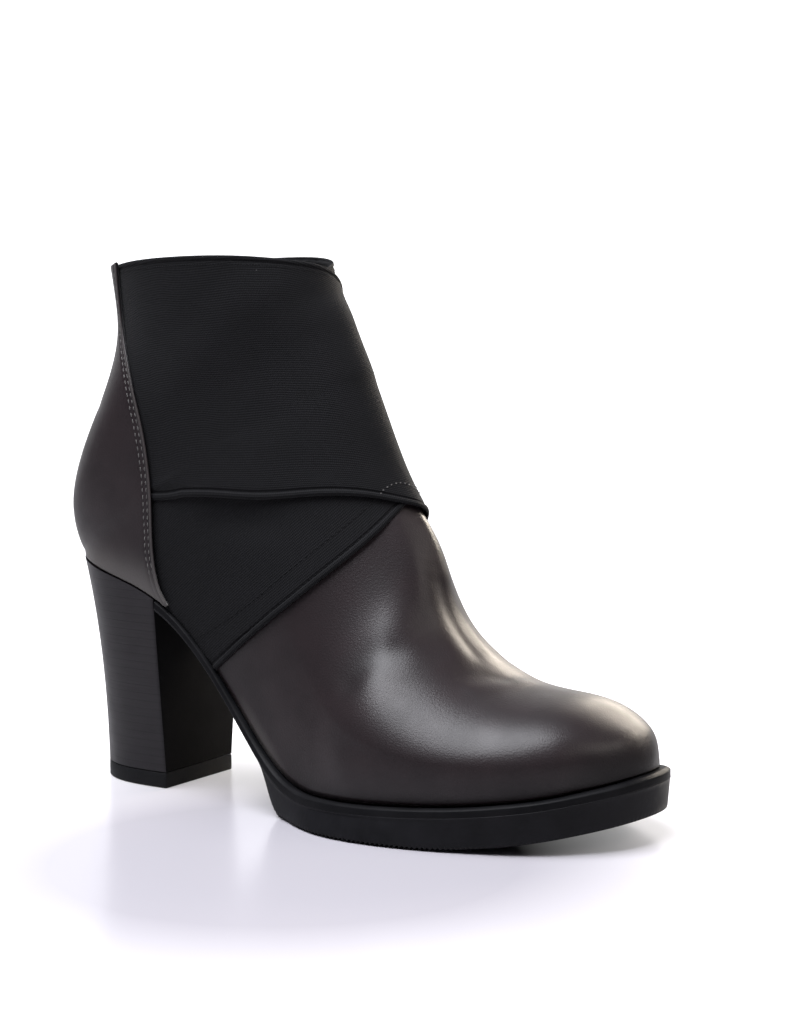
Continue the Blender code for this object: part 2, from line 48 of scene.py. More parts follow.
# The last, one row per section from toe tip to collar. A section runs from its low point on the
# feather line (or, from the seat row on, the back seam) to its high point on the front ridge.
# right and left are half widths, tuck the feather width over the full width, level the share of the
# rise at the widest place, crown and seat the squareness above and below it, arch the upward bow of
# the section and swing its middle.
LAST_COLUMNS = ("low_x", "low_z", "high_x", "high_z", "right", "left",
                "tuck", "level", "crown", "seat", "arch", "swing")
LAST = (
    (121.7, 25.2, 121.7, 25.2, 0.0, 0.0, 0.96, 0.36, 2.5, 2.0, 0.0, 4.0),
    (119.8, 24.7, 118.0, 36.9, 11.5, 11.2, 0.96, 0.36, 2.5, 2.0, 0.0, 3.9),
    (114.8, 23.3, 112.6, 41.3, 21.6, 20.2, 0.96, 0.36, 2.4, 2.0, 0.0, 3.7),
    (106.2, 21.3, 104.9, 45.3, 30.8, 28.0, 0.96, 0.36, 2.3, 2.0, 0.0, 3.2),
    (93.8, 18.8, 91.1, 49.1, 39.2, 35.0, 0.96, 0.36, 2.1, 2.0, 0.0, 2.4),
    (72.0, 15.9, 68.1, 52.8, 46.9, 40.5, 0.96, 0.36, 1.9, 2.0, 0.0, 1.4),
    (46.0, 13.8, 50.0, 65.2, 50.6, 42.6, 0.96, 0.36, 1.65, 2.0, 0.0, 0.6),
    (17.0, 12.4, 41.3, 79.4, 48.0, 40.8, 0.95, 0.38, 1.6, 2.0, 0.0, 0.2),
    (-12.0, 18.5, 36.9, 95.5, 37.8, 36.0, 0.91, 0.4, 1.6, 2.0, 0.0, 0.0),
    (-42.0, 48.0, 30.1, 108.5, 32.5, 31.5, 0.86, 0.42, 1.7, 2.0, 0.0, 0.0),
    (-70.0, 73.2, 20.3, 123.9, 30.5, 30.0, 0.88, 0.44, 1.8, 2.0, 0.0, 0.0),
    (-96.0, 83.0, 11.9, 142.0, 30.0, 29.5, 0.865, 0.45, 1.9, 2.15, 0.0, 0.0),
    (-112.4, 86.8, 7.2, 152.8, 29.5, 29.2, 0.63, 0.45, 2.0, 2.3, 0.0, 0.0),
    (-119.8, 88.4, 4.8, 159.2, 29.2, 29.0, 0.31, 0.45, 2.0, 2.4, 0.0, 0.0),
    (-122.4, 89.0, 3.2, 163.8, 29.0, 28.8, 0.0, 0.45, 2.0, 2.4, 0.0, 0.0),
    (-127.2, 106.0, -1.7, 174.3, 28.5, 28.3, 0.0, 0.46, 2.0, 2.3, 0.2, 0.0),
    (-121.2, 128.0, -4.9, 181.1, 28.2, 28.0, 0.0, 0.47, 2.0, 2.2, 0.9, 0.0),
    (-111.7, 148.0, -7.8, 186.0, 28.0, 28.0, 0.0, 0.48, 2.0, 2.1, 2.0, 0.0),
    (-104.7, 169.0, -10.2, 189.4, 28.0, 28.0, 0.0, 0.49, 2.0, 2.0, 3.0, 0.0),
    (-104.8, 186.0, -11.8, 193.2, 28.0, 28.0, 0.0, 0.5, 2.0, 2.0, 4.4, 0.0),
    (-107.3, 200.3, -13.2, 197.4, 28.0, 28.0, 0.0, 0.5, 2.0, 2.0, 6.0, 0.0),
    (-109.0, 211.0, -14.9, 204.0, 28.0, 28.0, 0.0, 0.5, 2.0, 2.0, 7.6, 0.0),
)
SEAT_ROW = 14          # the last's back at the heel seat: rows from here on close at the back seam
TOP_ROW = len(LAST) - 1
COLLAR_ROW = TOP_ROW - 1   # the last row carries the leg on above the collar, for the rims of the bands
MOST_TUCK = 0.97       # keeps a little undercut everywhere
LAST_VALUES = {name: np.array([row[i] for row in LAST]) for i, name in enumerate(LAST_COLUMNS)}
CORNERED = ("low_x", "low_z", "tuck")              # columns that turn a corner at the seat row
ROUND_TOE = ("low_x", "low_z", "high_x", "swing")  # columns that cross the toe's middle level


def spline_bends(values, level_start=False):
    """Second derivatives of the cubic spline through evenly spaced values, free or level at its start."""
    count = len(values)
    system = np.eye(count)
    right_side = np.zeros(count)
    for i in range(1, count - 1):
        system[i, i - 1:i + 2] = (1.0, 4.0, 1.0)
        right_side[i] = 6.0 * (values[i + 1] - 2.0 * values[i] + values[i - 1])
    if level_start:
        system[0, :2] = (2.0, 1.0)
        right_side[0] = 6.0 * (values[1] - values[0])
    return np.linalg.solve(system, right_side)


def spline_at(values, bends, place):
    """Value of that spline at a place counted in rows."""
    place = np.clip(np.asarray(place, float), 0.0, len(values) - 1.0)
    low = np.minimum(place.astype(int), len(values) - 2)
    far = place - low
    near = 1.0 - far
    straight = values[low] * near + values[low + 1] * far
    bow = bends[low] * (near ** 3 - near) + bends[low + 1] * (far ** 3 - far)
    return straight + bow / 6.0


def last_at(name, s):
    """One column of the last, smoothly between its rows."""
    values = LAST_VALUES[name]
    level = name in ROUND_TOE
    if name not in CORNERED:
        return spline_at(values, spline_bends(values, level), s)
    s = np.asarray(s, float)
    foot = values[:SEAT_ROW + 1]
    shaft = values[SEAT_ROW:]
    on_foot = spline_at(foot, spline_bends(foot, level), s)
    on_shaft = spline_at(shaft, spline_bends(shaft), s - SEAT_ROW)
    return np.where(s < SEAT_ROW, on_foot, on_shaft)


def feather_angle(s):
    """Angle of a section's lower end below its widest place."""
    tuck = np.clip(last_at("tuck", s), 0.0, MOST_TUCK)
    return -np.arccos(tuck ** (0.5 * last_at("seat", s)))


def surface(s, t):
    """Point of the last: s counts sections from the toe, t is 0 right feather, 1 ridge, 2 left feather."""
    s, t = np.broadcast_arrays(np.asarray(s, float), np.asarray(t, float))
    side = np.where(t <= 1.0, -1.0, 1.0)
    climb = np.where(t <= 1.0, t, 2.0 - t)
    half = np.where(side < 0.0, last_at("right", s), last_at("left", s))
    level = last_at("level", s)
    above = 2.0 / last_at("crown", s)
    below = 2.0 / last_at("seat", s)
    start = feather_angle(s)
    angle = start + (0.5 * pi - start) * climb
    over = np.clip(np.sin(angle), 0.0, 1.0) ** above
    under = (np.clip(np.sin(-angle), 0.0, 1.0) / np.sin(-start)) ** below
    rise = np.where(angle >= 0.0, level + (1.0 - level) * over, level * (1.0 - under))
    reach = np.clip(np.cos(angle), 0.0, 1.0) ** np.where(angle >= 0.0, above, below)
    x = last_at("low_x", s) + (last_at("high_x", s) - last_at("low_x", s)) * rise
    z = last_at("low_z", s) + (last_at("high_z", s) - last_at("low_z", s)) * rise
    z = z + 4.0 * last_at("arch", s) * rise * (1.0 - rise)
    y = last_at("swing", s) + side * half * reach
    return np.stack([x, y, z], axis=-1)


def outward(s, t):
    """Unit normal of the last, pointing out, kept in the middle plane along the closed back seam."""
    step = 0.02
    past_pole = 0.1
    s = np.clip(s, past_pole, TOP_ROW)
    across = surface(s, np.clip(t + step, 0.0, 2.0)) - surface(s, np.clip(t - step, 0.0, 2.0))
    along = surface(np.clip(s + step, 0.0, TOP_ROW), t) - surface(np.clip(s - step, 0.0, TOP_ROW), t)
    normal = np.cross(across, along)
    on_seam = (np.minimum(t, 2.0 - t) < 1e-6) & (s >= SEAT_ROW)
    normal[..., 1] = np.where(on_seam, 0.0, normal[..., 1])
    return normal / np.linalg.norm(normal, axis=-1, keepdims=True)


# Folds of the leather: height (below zero a trough), half width, and the places it runs through.
FOLDS = (
    (1.0, 6.5, ((26.5, -10.5, 109.5), (31.5, -10.0, 98.0), (37.5, -10.0, 84.5), (43.0, -10.0, 73.0),
                (51.0, -10.5, 63.0))),
    (-0.25, 3.0, ((39.0, -2.0, 85.0), (42.5, -2.3, 76.0), (49.0, -2.4, 66.1), (54.1, -2.5, 61.0))),
    (0.3, 4.5, ((38.0, 3.5, 86.0), (42.2, 5.3, 76.2), (46.5, 7.5, 68.0), (53.0, 7.0, 61.0))),
    (-0.9, 6.5, ((24.0, -42.0, 56.0), (30.0, -36.0, 62.0), (36.0, -31.0, 64.5))),
    (1.3, 8.0, ((30.0, -49.0, 24.0), (55.0, -49.0, 25.0), (80.0, -42.0, 26.0), (102.0, -31.0, 28.0))),
    (0.5, 5.0, ((31.5, 2.0, 106.5), (34.5, 4.0, 98.0), (37.0, 4.0, 90.0))),
    (-0.2, 3.0, ((57.0, -17.0, 56.0), (61.5, -9.4, 55.4), (66.5, -3.0, 53.6))),
    (0.3, 3.5, ((63.0, -20.0, 52.0), (68.0, -9.0, 52.0), (72.0, 4.0, 52.0))),
    (-0.2, 3.0, ((50.0, 28.0, 56.0), (54.0, 22.0, 56.0), (59.0, 14.0, 56.0))),
    (-0.10, 0.8, ((33.6, -9.9, 94.2), (35.7, -7.7, 92.6), (37.6, -2.5, 92.2))),
    (-0.10, 0.8, ((33.2, -8.0, 97.7), (35.5, -4.8, 96.2), (36.5, -0.1, 96.7))),
    (-0.09, 0.8, ((36.4, -9.1, 88.9), (38.4, -5.3, 87.0), (39.0, -1.4, 87.5))),
    (-0.08, 0.7, ((43.0, -9.0, 72.5), (46.5, -6.0, 68.5))),
    (-0.08, 0.7, ((46.5, -10.0, 67.0), (50.5, -6.0, 64.0))),
)
FOLD_STEPS = 24


def distance_to(points, line):
    """Shortest distance from a grid of points to a line of points."""
    flat = points.reshape(-1, 3)
    away = np.full(len(flat), np.inf)
    for start, end in zip(line[:-1], line[1:]):
        run = end - start
        share = np.clip((flat - start) @ run / max(run @ run, 1e-9), 0.0, 1.0)
        away = np.minimum(away, np.linalg.norm(flat - start - share[:, None] * run, axis=1))
    return away.reshape(points.shape[:-1])


def smooth_line(places, steps):
    """Smooth line of points through a few places."""
    columns = np.array(places, float).T
    at = np.linspace(0.0, len(places) - 1.0, steps)
    return np.stack([spline_at(column, spline_bends(column), at) for column in columns], axis=-1)


def fold_height(points, folds):
    """Height of the listed folds at points of a surface; their places are snapped onto it."""
    flat = points.reshape(-1, 3)
    height = np.zeros(points.shape[:-1])
    for rise, half_width, places in folds:
        on_it = flat[[int(np.argmin(np.linalg.norm(flat - place, axis=1))) for place in places]]
        line = smooth_line(on_it, FOLD_STEPS)
        height += rise * np.exp(-(distance_to(points, line) / half_width) ** 2)
    return height


def framed(points):
    """Points of the tables' millimetres, as metres in the shared frame."""
    return ((np.reshape(points, (-1, 3)) - MIDDLE) * MM).tolist()


def quads(index):
    """Four-cornered faces over a grid of point numbers."""
    corners = (index[:-1, :-1], index[:-1, 1:], index[1:, 1:], index[1:, :-1])
    return np.stack(corners, axis=-1).reshape(-1, 4)


def sheet_mesh(name, points, uv=None):
    """Smooth mesh over a grid of points, with a UV map in millimetres where one is given."""
    faces = quads(np.arange(points[..., 0].size).reshape(points.shape[:2]))
    mesh = bpy.data.meshes.new(name)
    mesh.from_pydata(framed(points), [], faces.tolist())
    if uv is not None:
        layer = mesh.uv_layers.new(name="cloth")
        layer.data.foreach_set("uv", uv.reshape(-1, 2)[faces.ravel()].ravel())
    mesh.shade_smooth()
    return mesh


WELD = 0.02            # points of a seam or pole that lie nearer than this are one


def weld(mesh):
    """Joins the points of a closed seam or pole."""
    shape = bmesh.new()
    shape.from_mesh(mesh)
    bmesh.ops.remove_doubles(shape, verts=shape.verts, dist=WELD * MM)
    bmesh.ops.dissolve_degenerate(shape, edges=shape.edges, dist=WELD * MM)
    shape.to_mesh(mesh)
    shape.free()


def place(mesh, node, slot, materials, wall=None):
    """Puts a finished mesh in the scene on the boot's one body, in the place of a CAD node."""
    for material in materials:
        mesh.materials.append(material)
    piece = bpy.data.objects.new(mesh.name, mesh)
    bpy.context.scene.collection.objects.link(piece)
    if wall is not None:
        skin = piece.modifiers.new("wall", 'SOLIDIFY')
        skin.thickness = wall * MM
        skin.offset = -1.0
        skin.material_offset = len(materials) - 1
        skin.material_offset_rim = 0
    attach(piece, "root")
    if node is not None:
        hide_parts(node)
    return piece


def feed(tree, socket, value):
    """Gives a socket a constant or a link."""
    if isinstance(value, bpy.types.NodeSocket):
        tree.links.new(value, socket)
    else:
        socket.default_value = value


def add_node(tree, kind, inputs=None, **settings):
    """New node with its settings and inputs."""
    made = tree.nodes.new(kind)
    for name, value in settings.items():
        setattr(made, name, value)
    for name, value in (inputs or {}).items():
        feed(tree, made.inputs[name], value)
    return made


def maths(tree, operation, first, second=0.0, third=0.0):
    """Output of a math node."""
    made = add_node(tree, "ShaderNodeMath", {0: first, 1: second, 2: third}, operation=operation)
    return made.outputs[0]


def spread(tree, value, low, high, to_low, to_high):
    """Output of a map range node, clamped."""
    made = add_node(tree, "ShaderNodeMapRange", {0: value, 1: low, 2: high, 3: to_low, 4: to_high})
    return made.outputs[0]


def blend_colours(tree, share, first, second):
    """Colour between two, by a share."""
    made = add_node(tree, "ShaderNodeMix", {"Factor": share}, data_type='RGBA')
    feed(tree, made.inputs[6], first)
    feed(tree, made.inputs[7], second)
    return made.outputs[2]


def noise(tree, spot, size, detail, finer=1.0):
    """Noise at a spot, its patches of a size in millimetres."""
    scale = maths(tree, 'DIVIDE', finer / MM, size)
    made = add_node(tree, "ShaderNodeTexNoise", {"Vector": spot, "Scale": scale, "Detail": detail})
    return made.outputs["Fac"]


def add_inputs(tree, sizes):
    """Named number inputs of a node tree, with their usual values."""
    for label, size in sizes.items():
        socket = tree.interface.new_socket(label, in_out="INPUT", socket_type="NodeSocketFloat")
        socket.default_value = size


def new_group(name, sizes, outputs):
    """Shader node group with named number inputs and outputs; gives the tree and its end nodes."""
    tree = bpy.data.node_groups.new(name, "ShaderNodeTree")
    add_inputs(tree, sizes)
    for label in outputs:
        tree.interface.new_socket(label, in_out="OUTPUT", socket_type="NodeSocketFloat")
    return tree, tree.nodes.new("NodeGroupInput"), tree.nodes.new("NodeGroupOutput")


def use_group(tree, group, values):
    """A group placed in a material with its own values."""
    made = tree.nodes.new("ShaderNodeGroup")
    made.node_tree = group
    for label, value in values.items():
        feed(tree, made.inputs[label], value)
    return made


def new_material(name, constants):
    """Material with constant values on its shader's own sockets; gives material, tree and shader."""
    material = bpy.data.materials.new(name)
    material.use_nodes = True
    shader = material.node_tree.nodes["Principled BSDF"]
    for label, value in constants.items():
        shader.inputs[label].default_value = value
    return material, material.node_tree, shader


def bump(tree, shader, height, depth):
    """Feeds a height from 0 to 1 to a shader's normal, depth in millimetres."""
    made = add_node(tree, "ShaderNodeBump", {"Height": height, "Strength": 1.0, "Distance": depth * MM})
    tree.links.new(made.outputs["Normal"], shader.inputs["Normal"])


# Grain: pores and cells of the hide with finer dust over them, and wide cloudy patches of dye.
DUST_FINER = 2.2       # the dust is this much finer than the cells
DUST_SHARE = 0.3       # and makes this share of the grain's height
GRAIN_DEPTH = 0.08
CLOUD = (0.3, 0.7)     # noise between which a cloudy patch fades in
grain, grain_in, grain_out = new_group("leather_grain", {"Cell": 0.7, "Cloud": 14.0}, ("Height", "Cloud"))
grain_place = add_node(grain, "ShaderNodeTexCoord").outputs["Object"]
grain_cells = add_node(grain, "ShaderNodeTexVoronoi", {
    "Vector": grain_place,
    "Scale": maths(grain, 'DIVIDE', 1.0 / MM, grain_in.outputs["Cell"]),
}, feature='SMOOTH_F1')
grain_dust = noise(grain, grain_place, grain_in.outputs["Cell"], 2.0, DUST_FINER)
grain_fine = maths(grain, 'MULTIPLY', grain_dust, DUST_SHARE)
feed(grain, grain_out.inputs["Height"],
     maths(grain, 'MULTIPLY_ADD', grain_cells.outputs["Distance"], 1.0 - DUST_SHARE, grain_fine))
feed(grain, grain_out.inputs["Cloud"], noise(grain, grain_place, grain_in.outputs["Cloud"], 3.0))

LEATHER_GLOSS = (0.36, 0.45)    # lowest and highest roughness
LEATHER_LIGHT = (0.0270, 0.0192, 0.0208, 1.0)
LEATHER_DARK = (0.0182, 0.0127, 0.0141, 1.0)
# Painted light: the leather is darkened towards the next colour for painted shade (and for burnish at the
# toe), and paled towards the one after it for painted sheen.
LEATHER_SHADE_AND_BURNISH = (0.0065, 0.0052, 0.0055, 1.0)
LEATHER_PALE_SHEEN = (0.11, 0.10, 0.095, 1.0)


def leather_material(name, cell):
    """Smooth dyed leather: clouded dye and fine grain, darkened where its attribute is above zero (painted
    shade, and burnish at the toe) and paled below zero (mostly painted sheen).
    """
    material, tree, shader = new_material(name, {
        "Coat Weight": 0.1, "Coat Roughness": 0.3, "Specular IOR Level": 0.34,
    })
    skin = use_group(tree, grain, {"Cell": cell, "Cloud": 14.0})
    painted_light_and_burnish = add_node(tree, "ShaderNodeAttribute", attribute_name="painted_light_and_burnish").outputs["Fac"]
    cloud = spread(tree, skin.outputs["Cloud"], *CLOUD, 0.0, 1.0)
    leather_colour = blend_colours(tree, cloud, LEATHER_LIGHT, LEATHER_DARK)
    leather_colour = blend_colours(tree, spread(tree, painted_light_and_burnish, 0.0, 1.0, 0.0, 1.0), leather_colour, LEATHER_SHADE_AND_BURNISH)
    leather_colour = blend_colours(tree, spread(tree, painted_light_and_burnish, -1.0, 0.0, 1.0, 0.0), leather_colour, LEATHER_PALE_SHEEN)
    feed(tree, shader.inputs["Base Color"], leather_colour)
    feed(tree, shader.inputs["Roughness"], spread(tree, cloud, 0.0, 1.0, *LEATHER_GLOSS))
    bump(tree, shader, skin.outputs["Height"], GRAIN_DEPTH)
    return material


def clouded_material(name, group, sizes, colours, gloss, depth, constants):
    """Finish clouded between two colours and two roughnesses, with the relief of a group."""
    material, tree, shader = new_material(name, constants)
    finish = use_group(tree, group, sizes)
    share = spread(tree, finish.outputs["Cloud"], *CLOUD, 0.0, 1.0)
    feed(tree, shader.inputs["Base Color"], blend_colours(tree, share, *colours))
    feed(tree, shader.inputs["Roughness"], spread(tree, share, 0.0, 1.0, *gloss))
    bump(tree, shader, finish.outputs["Height"], depth)
    return material


def store_painted_light(mesh, values):
    """Writes a number per point of painted light: above zero it darkens the leather, below zero it paints it
    pale.
    """
    layer = mesh.attributes.new("painted_light_and_burnish", 'FLOAT', 'POINT')
    layer.data.foreach_set("value", np.clip(values, -1.0, 1.0).ravel())


# A fine scan along the last, past its toe: low and high points, and the length run at half climb.
SCAN = np.linspace(0.3, TOP_ROW, 2500)
SCAN_LOW = np.stack([last_at("low_x", SCAN), last_at("low_z", SCAN)], axis=-1)
SCAN_HIGH = np.stack([last_at("high_x", SCAN), last_at("high_z", SCAN)], axis=-1)
SCAN_STEPS = np.linalg.norm(np.diff(surface(SCAN, 0.5), axis=0), axis=1)
SCAN_RUN = np.concatenate([[0.0], np.cumsum(SCAN_STEPS)])

# Slack: below the over band's lower edge on the right the elastic falls in a little, upper with it.
SLACK_PLACE = np.array([-33.0, -31.0, 108.0])
SLACK_REACH = np.array([17.0, 20.0, 7.0])
SLACK_DEPTH = 1.7


def slack(points):
    """Depth of the hollow under the slack elastic."""
    return SLACK_DEPTH * np.exp(-(((points - SLACK_PLACE) / SLACK_REACH) ** 2).sum(axis=-1))


UPPER_ROWS = 210
TOE_ROWS = 26
UPPER_TURNS = 141
COLLAR_DROP = 0.2      # the skin ends this far, in rows, below the collar, inside the bands' rims
UPPER_SLACK = 1.2      # it falls in this many times as far as the slack elastic over it
FEATHER_PAINTED_SHADE = 0.45        # painted shade along the feather line, this dark
FEATHER_SHADE_RISE = 9.0    # up to this height above the welt
TOE_SHADE_AND_BURNISH = 0.6         # the toe is darker too: burnish, and painted shade where the other boot of the pair would shade it
TOE_SHADE_X = 70.0      # from here on
TOE_SHADE_RUN = 60.0    # more and more over this length
TOE_SHADE_RISE = 24.0   # and less and less over this height
FOLD_PAINTED_SHADE = 0.4        # painted shade: troughs are darker by this much per millimetre
WAIST_PAINTED_SHEEN = 1.3       # at the waist the lasted edge, curving under, gets a painted pale sheen
WAIST_SHEEN_X = -18.0
WAIST_SHEEN_HALF = 16.0
WAIST_SHEEN_RISE = 4.5
toe_rows = np.linspace(0.0, 1.0, TOE_ROWS, endpoint=False)
first_run = float(np.interp(1.0, SCAN, SCAN_RUN))
collar_run = float(np.interp(COLLAR_ROW - COLLAR_DROP, SCAN, SCAN_RUN))
even_runs = np.linspace(first_run, collar_run, UPPER_ROWS)
upper_rows = np.concatenate([toe_rows, np.interp(even_runs, SCAN_RUN, SCAN)])
upper_s, upper_t = np.meshgrid(upper_rows, np.linspace(0.0, 2.0, UPPER_TURNS), indexing="ij")
upper_bare = surface(upper_s, upper_t)
upper_folds = fold_height(upper_bare, FOLDS)
upper_height = upper_folds - UPPER_SLACK * slack(upper_bare)
upper_points = upper_bare + outward(upper_s, upper_t) * upper_height[..., None]
upper_mesh = sheet_mesh("upper_leather", upper_points)
above_feather = upper_points[..., 2] - last_at("low_z", upper_s)
# Painted shade along the feather line, where the upper meets the welt.
feather_shade = FEATHER_PAINTED_SHADE * np.exp(-(np.clip(above_feather, 0.0, None) / FEATHER_SHADE_RISE) ** 2)
# Darker towards the toe: burnish, and painted shade where the other boot of the pair would shade it.
toward_toe = np.clip((upper_points[..., 0] - TOE_SHADE_X) / TOE_SHADE_RUN, 0.0, 1.0)
toe_shade_and_burnish = TOE_SHADE_AND_BURNISH * toward_toe * np.exp(-above_feather / TOE_SHADE_RISE)
# All the upper's darkening in one: painted shade at the feather line and in the troughs, shade and burnish at
# the toe.
upper_shade = np.clip(feather_shade + toe_shade_and_burnish - FOLD_PAINTED_SHADE * upper_folds, 0.0, 1.0)
# A painted pale sheen on the lasted edge at the waist, where it curves under.
from_waist = (upper_points[..., 0] - WAIST_SHEEN_X) / WAIST_SHEEN_HALF
waist_sheen = WAIST_PAINTED_SHEEN * np.exp(-from_waist ** 2 - (above_feather / WAIST_SHEEN_RISE) ** 2)
store_painted_light(upper_mesh, upper_shade - waist_sheen)
weld(upper_mesh)

LINING_COLOURS = ((0.012, 0.0115, 0.013, 1.0), (0.02, 0.019, 0.021, 1.0))
lining = clouded_material("lining", grain, {"Cell": 0.5, "Cloud": 9.0}, LINING_COLOURS, (0.7, 0.85),
                          GRAIN_DEPTH, {"Sheen Weight": 0.2, "Sheen Roughness": 0.5})
HIDE_CELL = 0.55
vamp_leather = leather_material("vamp_leather", HIDE_CELL)
place(upper_mesh, "upper", "leather", (vamp_leather, lining), WALL)

# Elastic bands: two strips of ribbed black elastic, each edge turned over a cord and sewn. One is high on
# the right side, crosses over the front and runs down to the waist on the left; the other mirrors it below.

# Edges of the over band: side (-1 right, 0 front ridge, 1 left), then x and z of its low and high edge.
BAND_EDGES = (
    (-1, -74.0, 113.0, -93.0, 201.6), (-1, -38.0, 115.0, -66.0, 204.4), (-1, -3.5, 116.5, -40.0, 204.9),
    (-1, 17.0, 116.0, -22.5, 203.5), (0, 28.0, 113.0, -13.8, 199.7), (1, 21.5, 103.5, -16.5, 192.5),
    (1, 8.0, 89.5, -26.0, 181.5), (1, -8.0, 76.5, -40.0, 169.0), (1, -25.0, 64.0, -57.0, 154.0),
    (1, -43.0, 50.5, -78.5, 134.0),
)
# Front edge of the counter, where the bands end, seen from the side: x and z from the collar down.
COUNTER_EDGE = (
    (-93.5, 203.0), (-93.4, 190.0), (-90.9, 177.0), (-85.2, 165.2), (-79.4, 151.5), (-75.2, 138.6),
    (-72.5, 126.0), (-71.0, 113.9), (-70.5, 97.2), (-69.4, 83.7), (-66.3, 75.2), (-58.0, 64.4),
)
RIDGE_PLACE = 4        # the row of the band's table that lies on the front ridge
OVER_FRONT = (0.0, 0.5, 0.5, 0.2, -1.2, 1.2, 0.6, 0.0, 0.0, 0.0)    # added to a band's low_z
UNDER_FRONT = (0.0, 0.0, 0.0, 0.4, 3.4, 1.6, 0.8, 0.0, 0.0, 0.0)
BAND_WIDTH = 89.0
BAND_THICK = 0.9
BAND_HEEL_Z = 67.0     # height where a band's lower end reaches the counter
COUNTER_LAP = 4.0      # a band's end runs this far in under the counter
CURVE_STEPS = 60       # points read for each place of the band's table
RIGHT_STEPS = 170
LEFT_STEPS = 150
UNDER_HEIGHT = 1.15    # outer face of the lower layer above the last
LAYER = 1.15           # the over band stands this much higher where it lies on the other one
RAMP_CLEAR = 3.0       # the upper layer stays lifted this far past the layer below on the right
RAMP = 20.0            # and then comes down over this length
FRONT_RAMP = 9.0       # length over which it comes down over the lower edge on the left
FRONT_CLEAR = 1.0      # beginning this far above that edge
CROSS_TURN = (0.86, 1.14)    # turns between which the right side's lift passes into the left side's
END_DIVE = 26.0        # length over which a band's end goes down under the counter
END_HEIGHT = 0.9
ROLL_RADIUS = 1.25     # cord in the lower edge
ROLL_HEIGHT = 0.65
RIM_RADIUS = 0.8       # thinner cord in the upper edge, which is the collar on the right
RIM_HEIGHT = 0.3
GROOVE_DEPTH = 0.4
GROOVE_HALF = 0.4


def ease(value):
    """Smooth step from 0 to 1."""
    value = np.clip(value, 0.0, 1.0)
    return value * value * (3.0 - 2.0 * value)


def locate(x, z):
    """Section and climb of a place seen from the side."""
    line = SCAN_HIGH - SCAN_LOW
    bow = 0.0
    for _ in range(5):    # the section's bow shifts the place, so it is found again and again
        to_place = np.array([x, z - bow]) - SCAN_LOW
        cross = line[:, 0] * to_place[:, 1] - line[:, 1] * to_place[:, 0]
        turns = np.nonzero(np.sign(cross[:-1]) != np.sign(cross[1:]))[0]
        best = int(turns[0]) if len(turns) else len(SCAN) - 1
        s = SCAN[best]
        rise = np.clip(np.dot(to_place[best], line[best]) / np.dot(line[best], line[best]), 0.0, 1.0)
        bow = 4.0 * float(last_at("arch", s)) * rise * (1.0 - rise)
    level = float(last_at("level", s))
    start = float(feather_angle(s))
    if rise >= level:
        angle = np.arcsin(((rise - level) / (1.0 - level)) ** (float(last_at("crown", s)) / 2.0))
    else:
        angle = -np.arcsin((1.0 - rise / level) ** (float(last_at("seat", s)) / 2.0) * np.sin(-start))
    return s, (angle - start) / (0.5 * pi - start)


def place_on_last(x, z, side):
    """Section and turn of a place on the right, on the front ridge or on the left."""
    if side == 0:
        miss = np.abs(SCAN_HIGH[:, 1] - z) + 0.3 * np.abs(SCAN_HIGH[:, 0] - x)    # mostly by height
        return SCAN[int(np.argmin(miss))], 1.0
    s, climb = locate(x, z)
    return s, (climb if side < 0 else 2.0 - climb)


def run_length(points):
    """Length run along the first axis of a grid of points."""
    steps = np.linalg.norm(np.diff(points, axis=0), axis=-1)
    return np.concatenate([np.zeros((1,) + steps.shape[1:]), np.cumsum(steps, axis=0)])


def curve_through(places):
    """Curve of (section, turn) through a band's places, evenly read before and after the front ridge."""
    places = np.array(places, float)
    places[:, 0] = np.interp(places[:, 0], SCAN, SCAN_RUN)
    curve = smooth_line(places, CURVE_STEPS * len(places))
    at = np.linspace(0.0, len(places) - 1.0, len(curve))
    curve[:, 0] = np.interp(curve[:, 0], SCAN_RUN, SCAN)
    run = run_length(surface(curve[:, 0], curve[:, 1]))
    ridge_run = np.interp(RIDGE_PLACE, at, run)
    even = np.concatenate([np.linspace(0.0, ridge_run, RIGHT_STEPS, endpoint=False),
                           np.linspace(ridge_run, run[-1], LEFT_STEPS)])
    return np.stack([np.interp(even, run, column) for column in curve.T], axis=-1)


def counter_edge_x(z):
    """Front edge of the counter at a height."""
    x, height = smooth_line(COUNTER_EDGE, 200).T
    return float(np.interp(z, height[::-1], x[::-1]))


def band_line(share, front):
    """Curve of (section, turn) along the over band, a share of the way across from its lower edge."""
    places = []
    for (side, low_x, low_z, high_x, high_z), added in zip(BAND_EDGES, front):
        low_z = low_z + added
        places.append([low_x + (high_x - low_x) * share, low_z + (high_z - low_z) * share, side])
    places[0][0] = counter_edge_x(places[0][1]) - COUNTER_LAP
    foot_x, foot_z = BAND_EDGES[-1][1:3]
    free = max(0.0, 1.0 - (places[-1][1] - foot_z) / (BAND_HEEL_Z - foot_z))
    beside_counter = counter_edge_x(max(places[-1][1], BAND_HEEL_Z)) - COUNTER_LAP
    places[-1][0] = foot_x * free + beside_counter * (1.0 - free)
    return curve_through([place_on_last(*spot) for spot in places])


def rolled_edge(distance, radius, height):
    """Height of a corded edge and the groove beside it, by the distance from the edge."""
    roll = height * np.sqrt(np.clip(1.0 - (distance / radius - 1.0) ** 2, 0.0, 1.0))
    groove = GROOVE_DEPTH * np.exp(-((distance - 2.0 * radius - GROOVE_HALF) / GROOVE_HALF) ** 2)
    return roll - groove * height / ROLL_HEIGHT


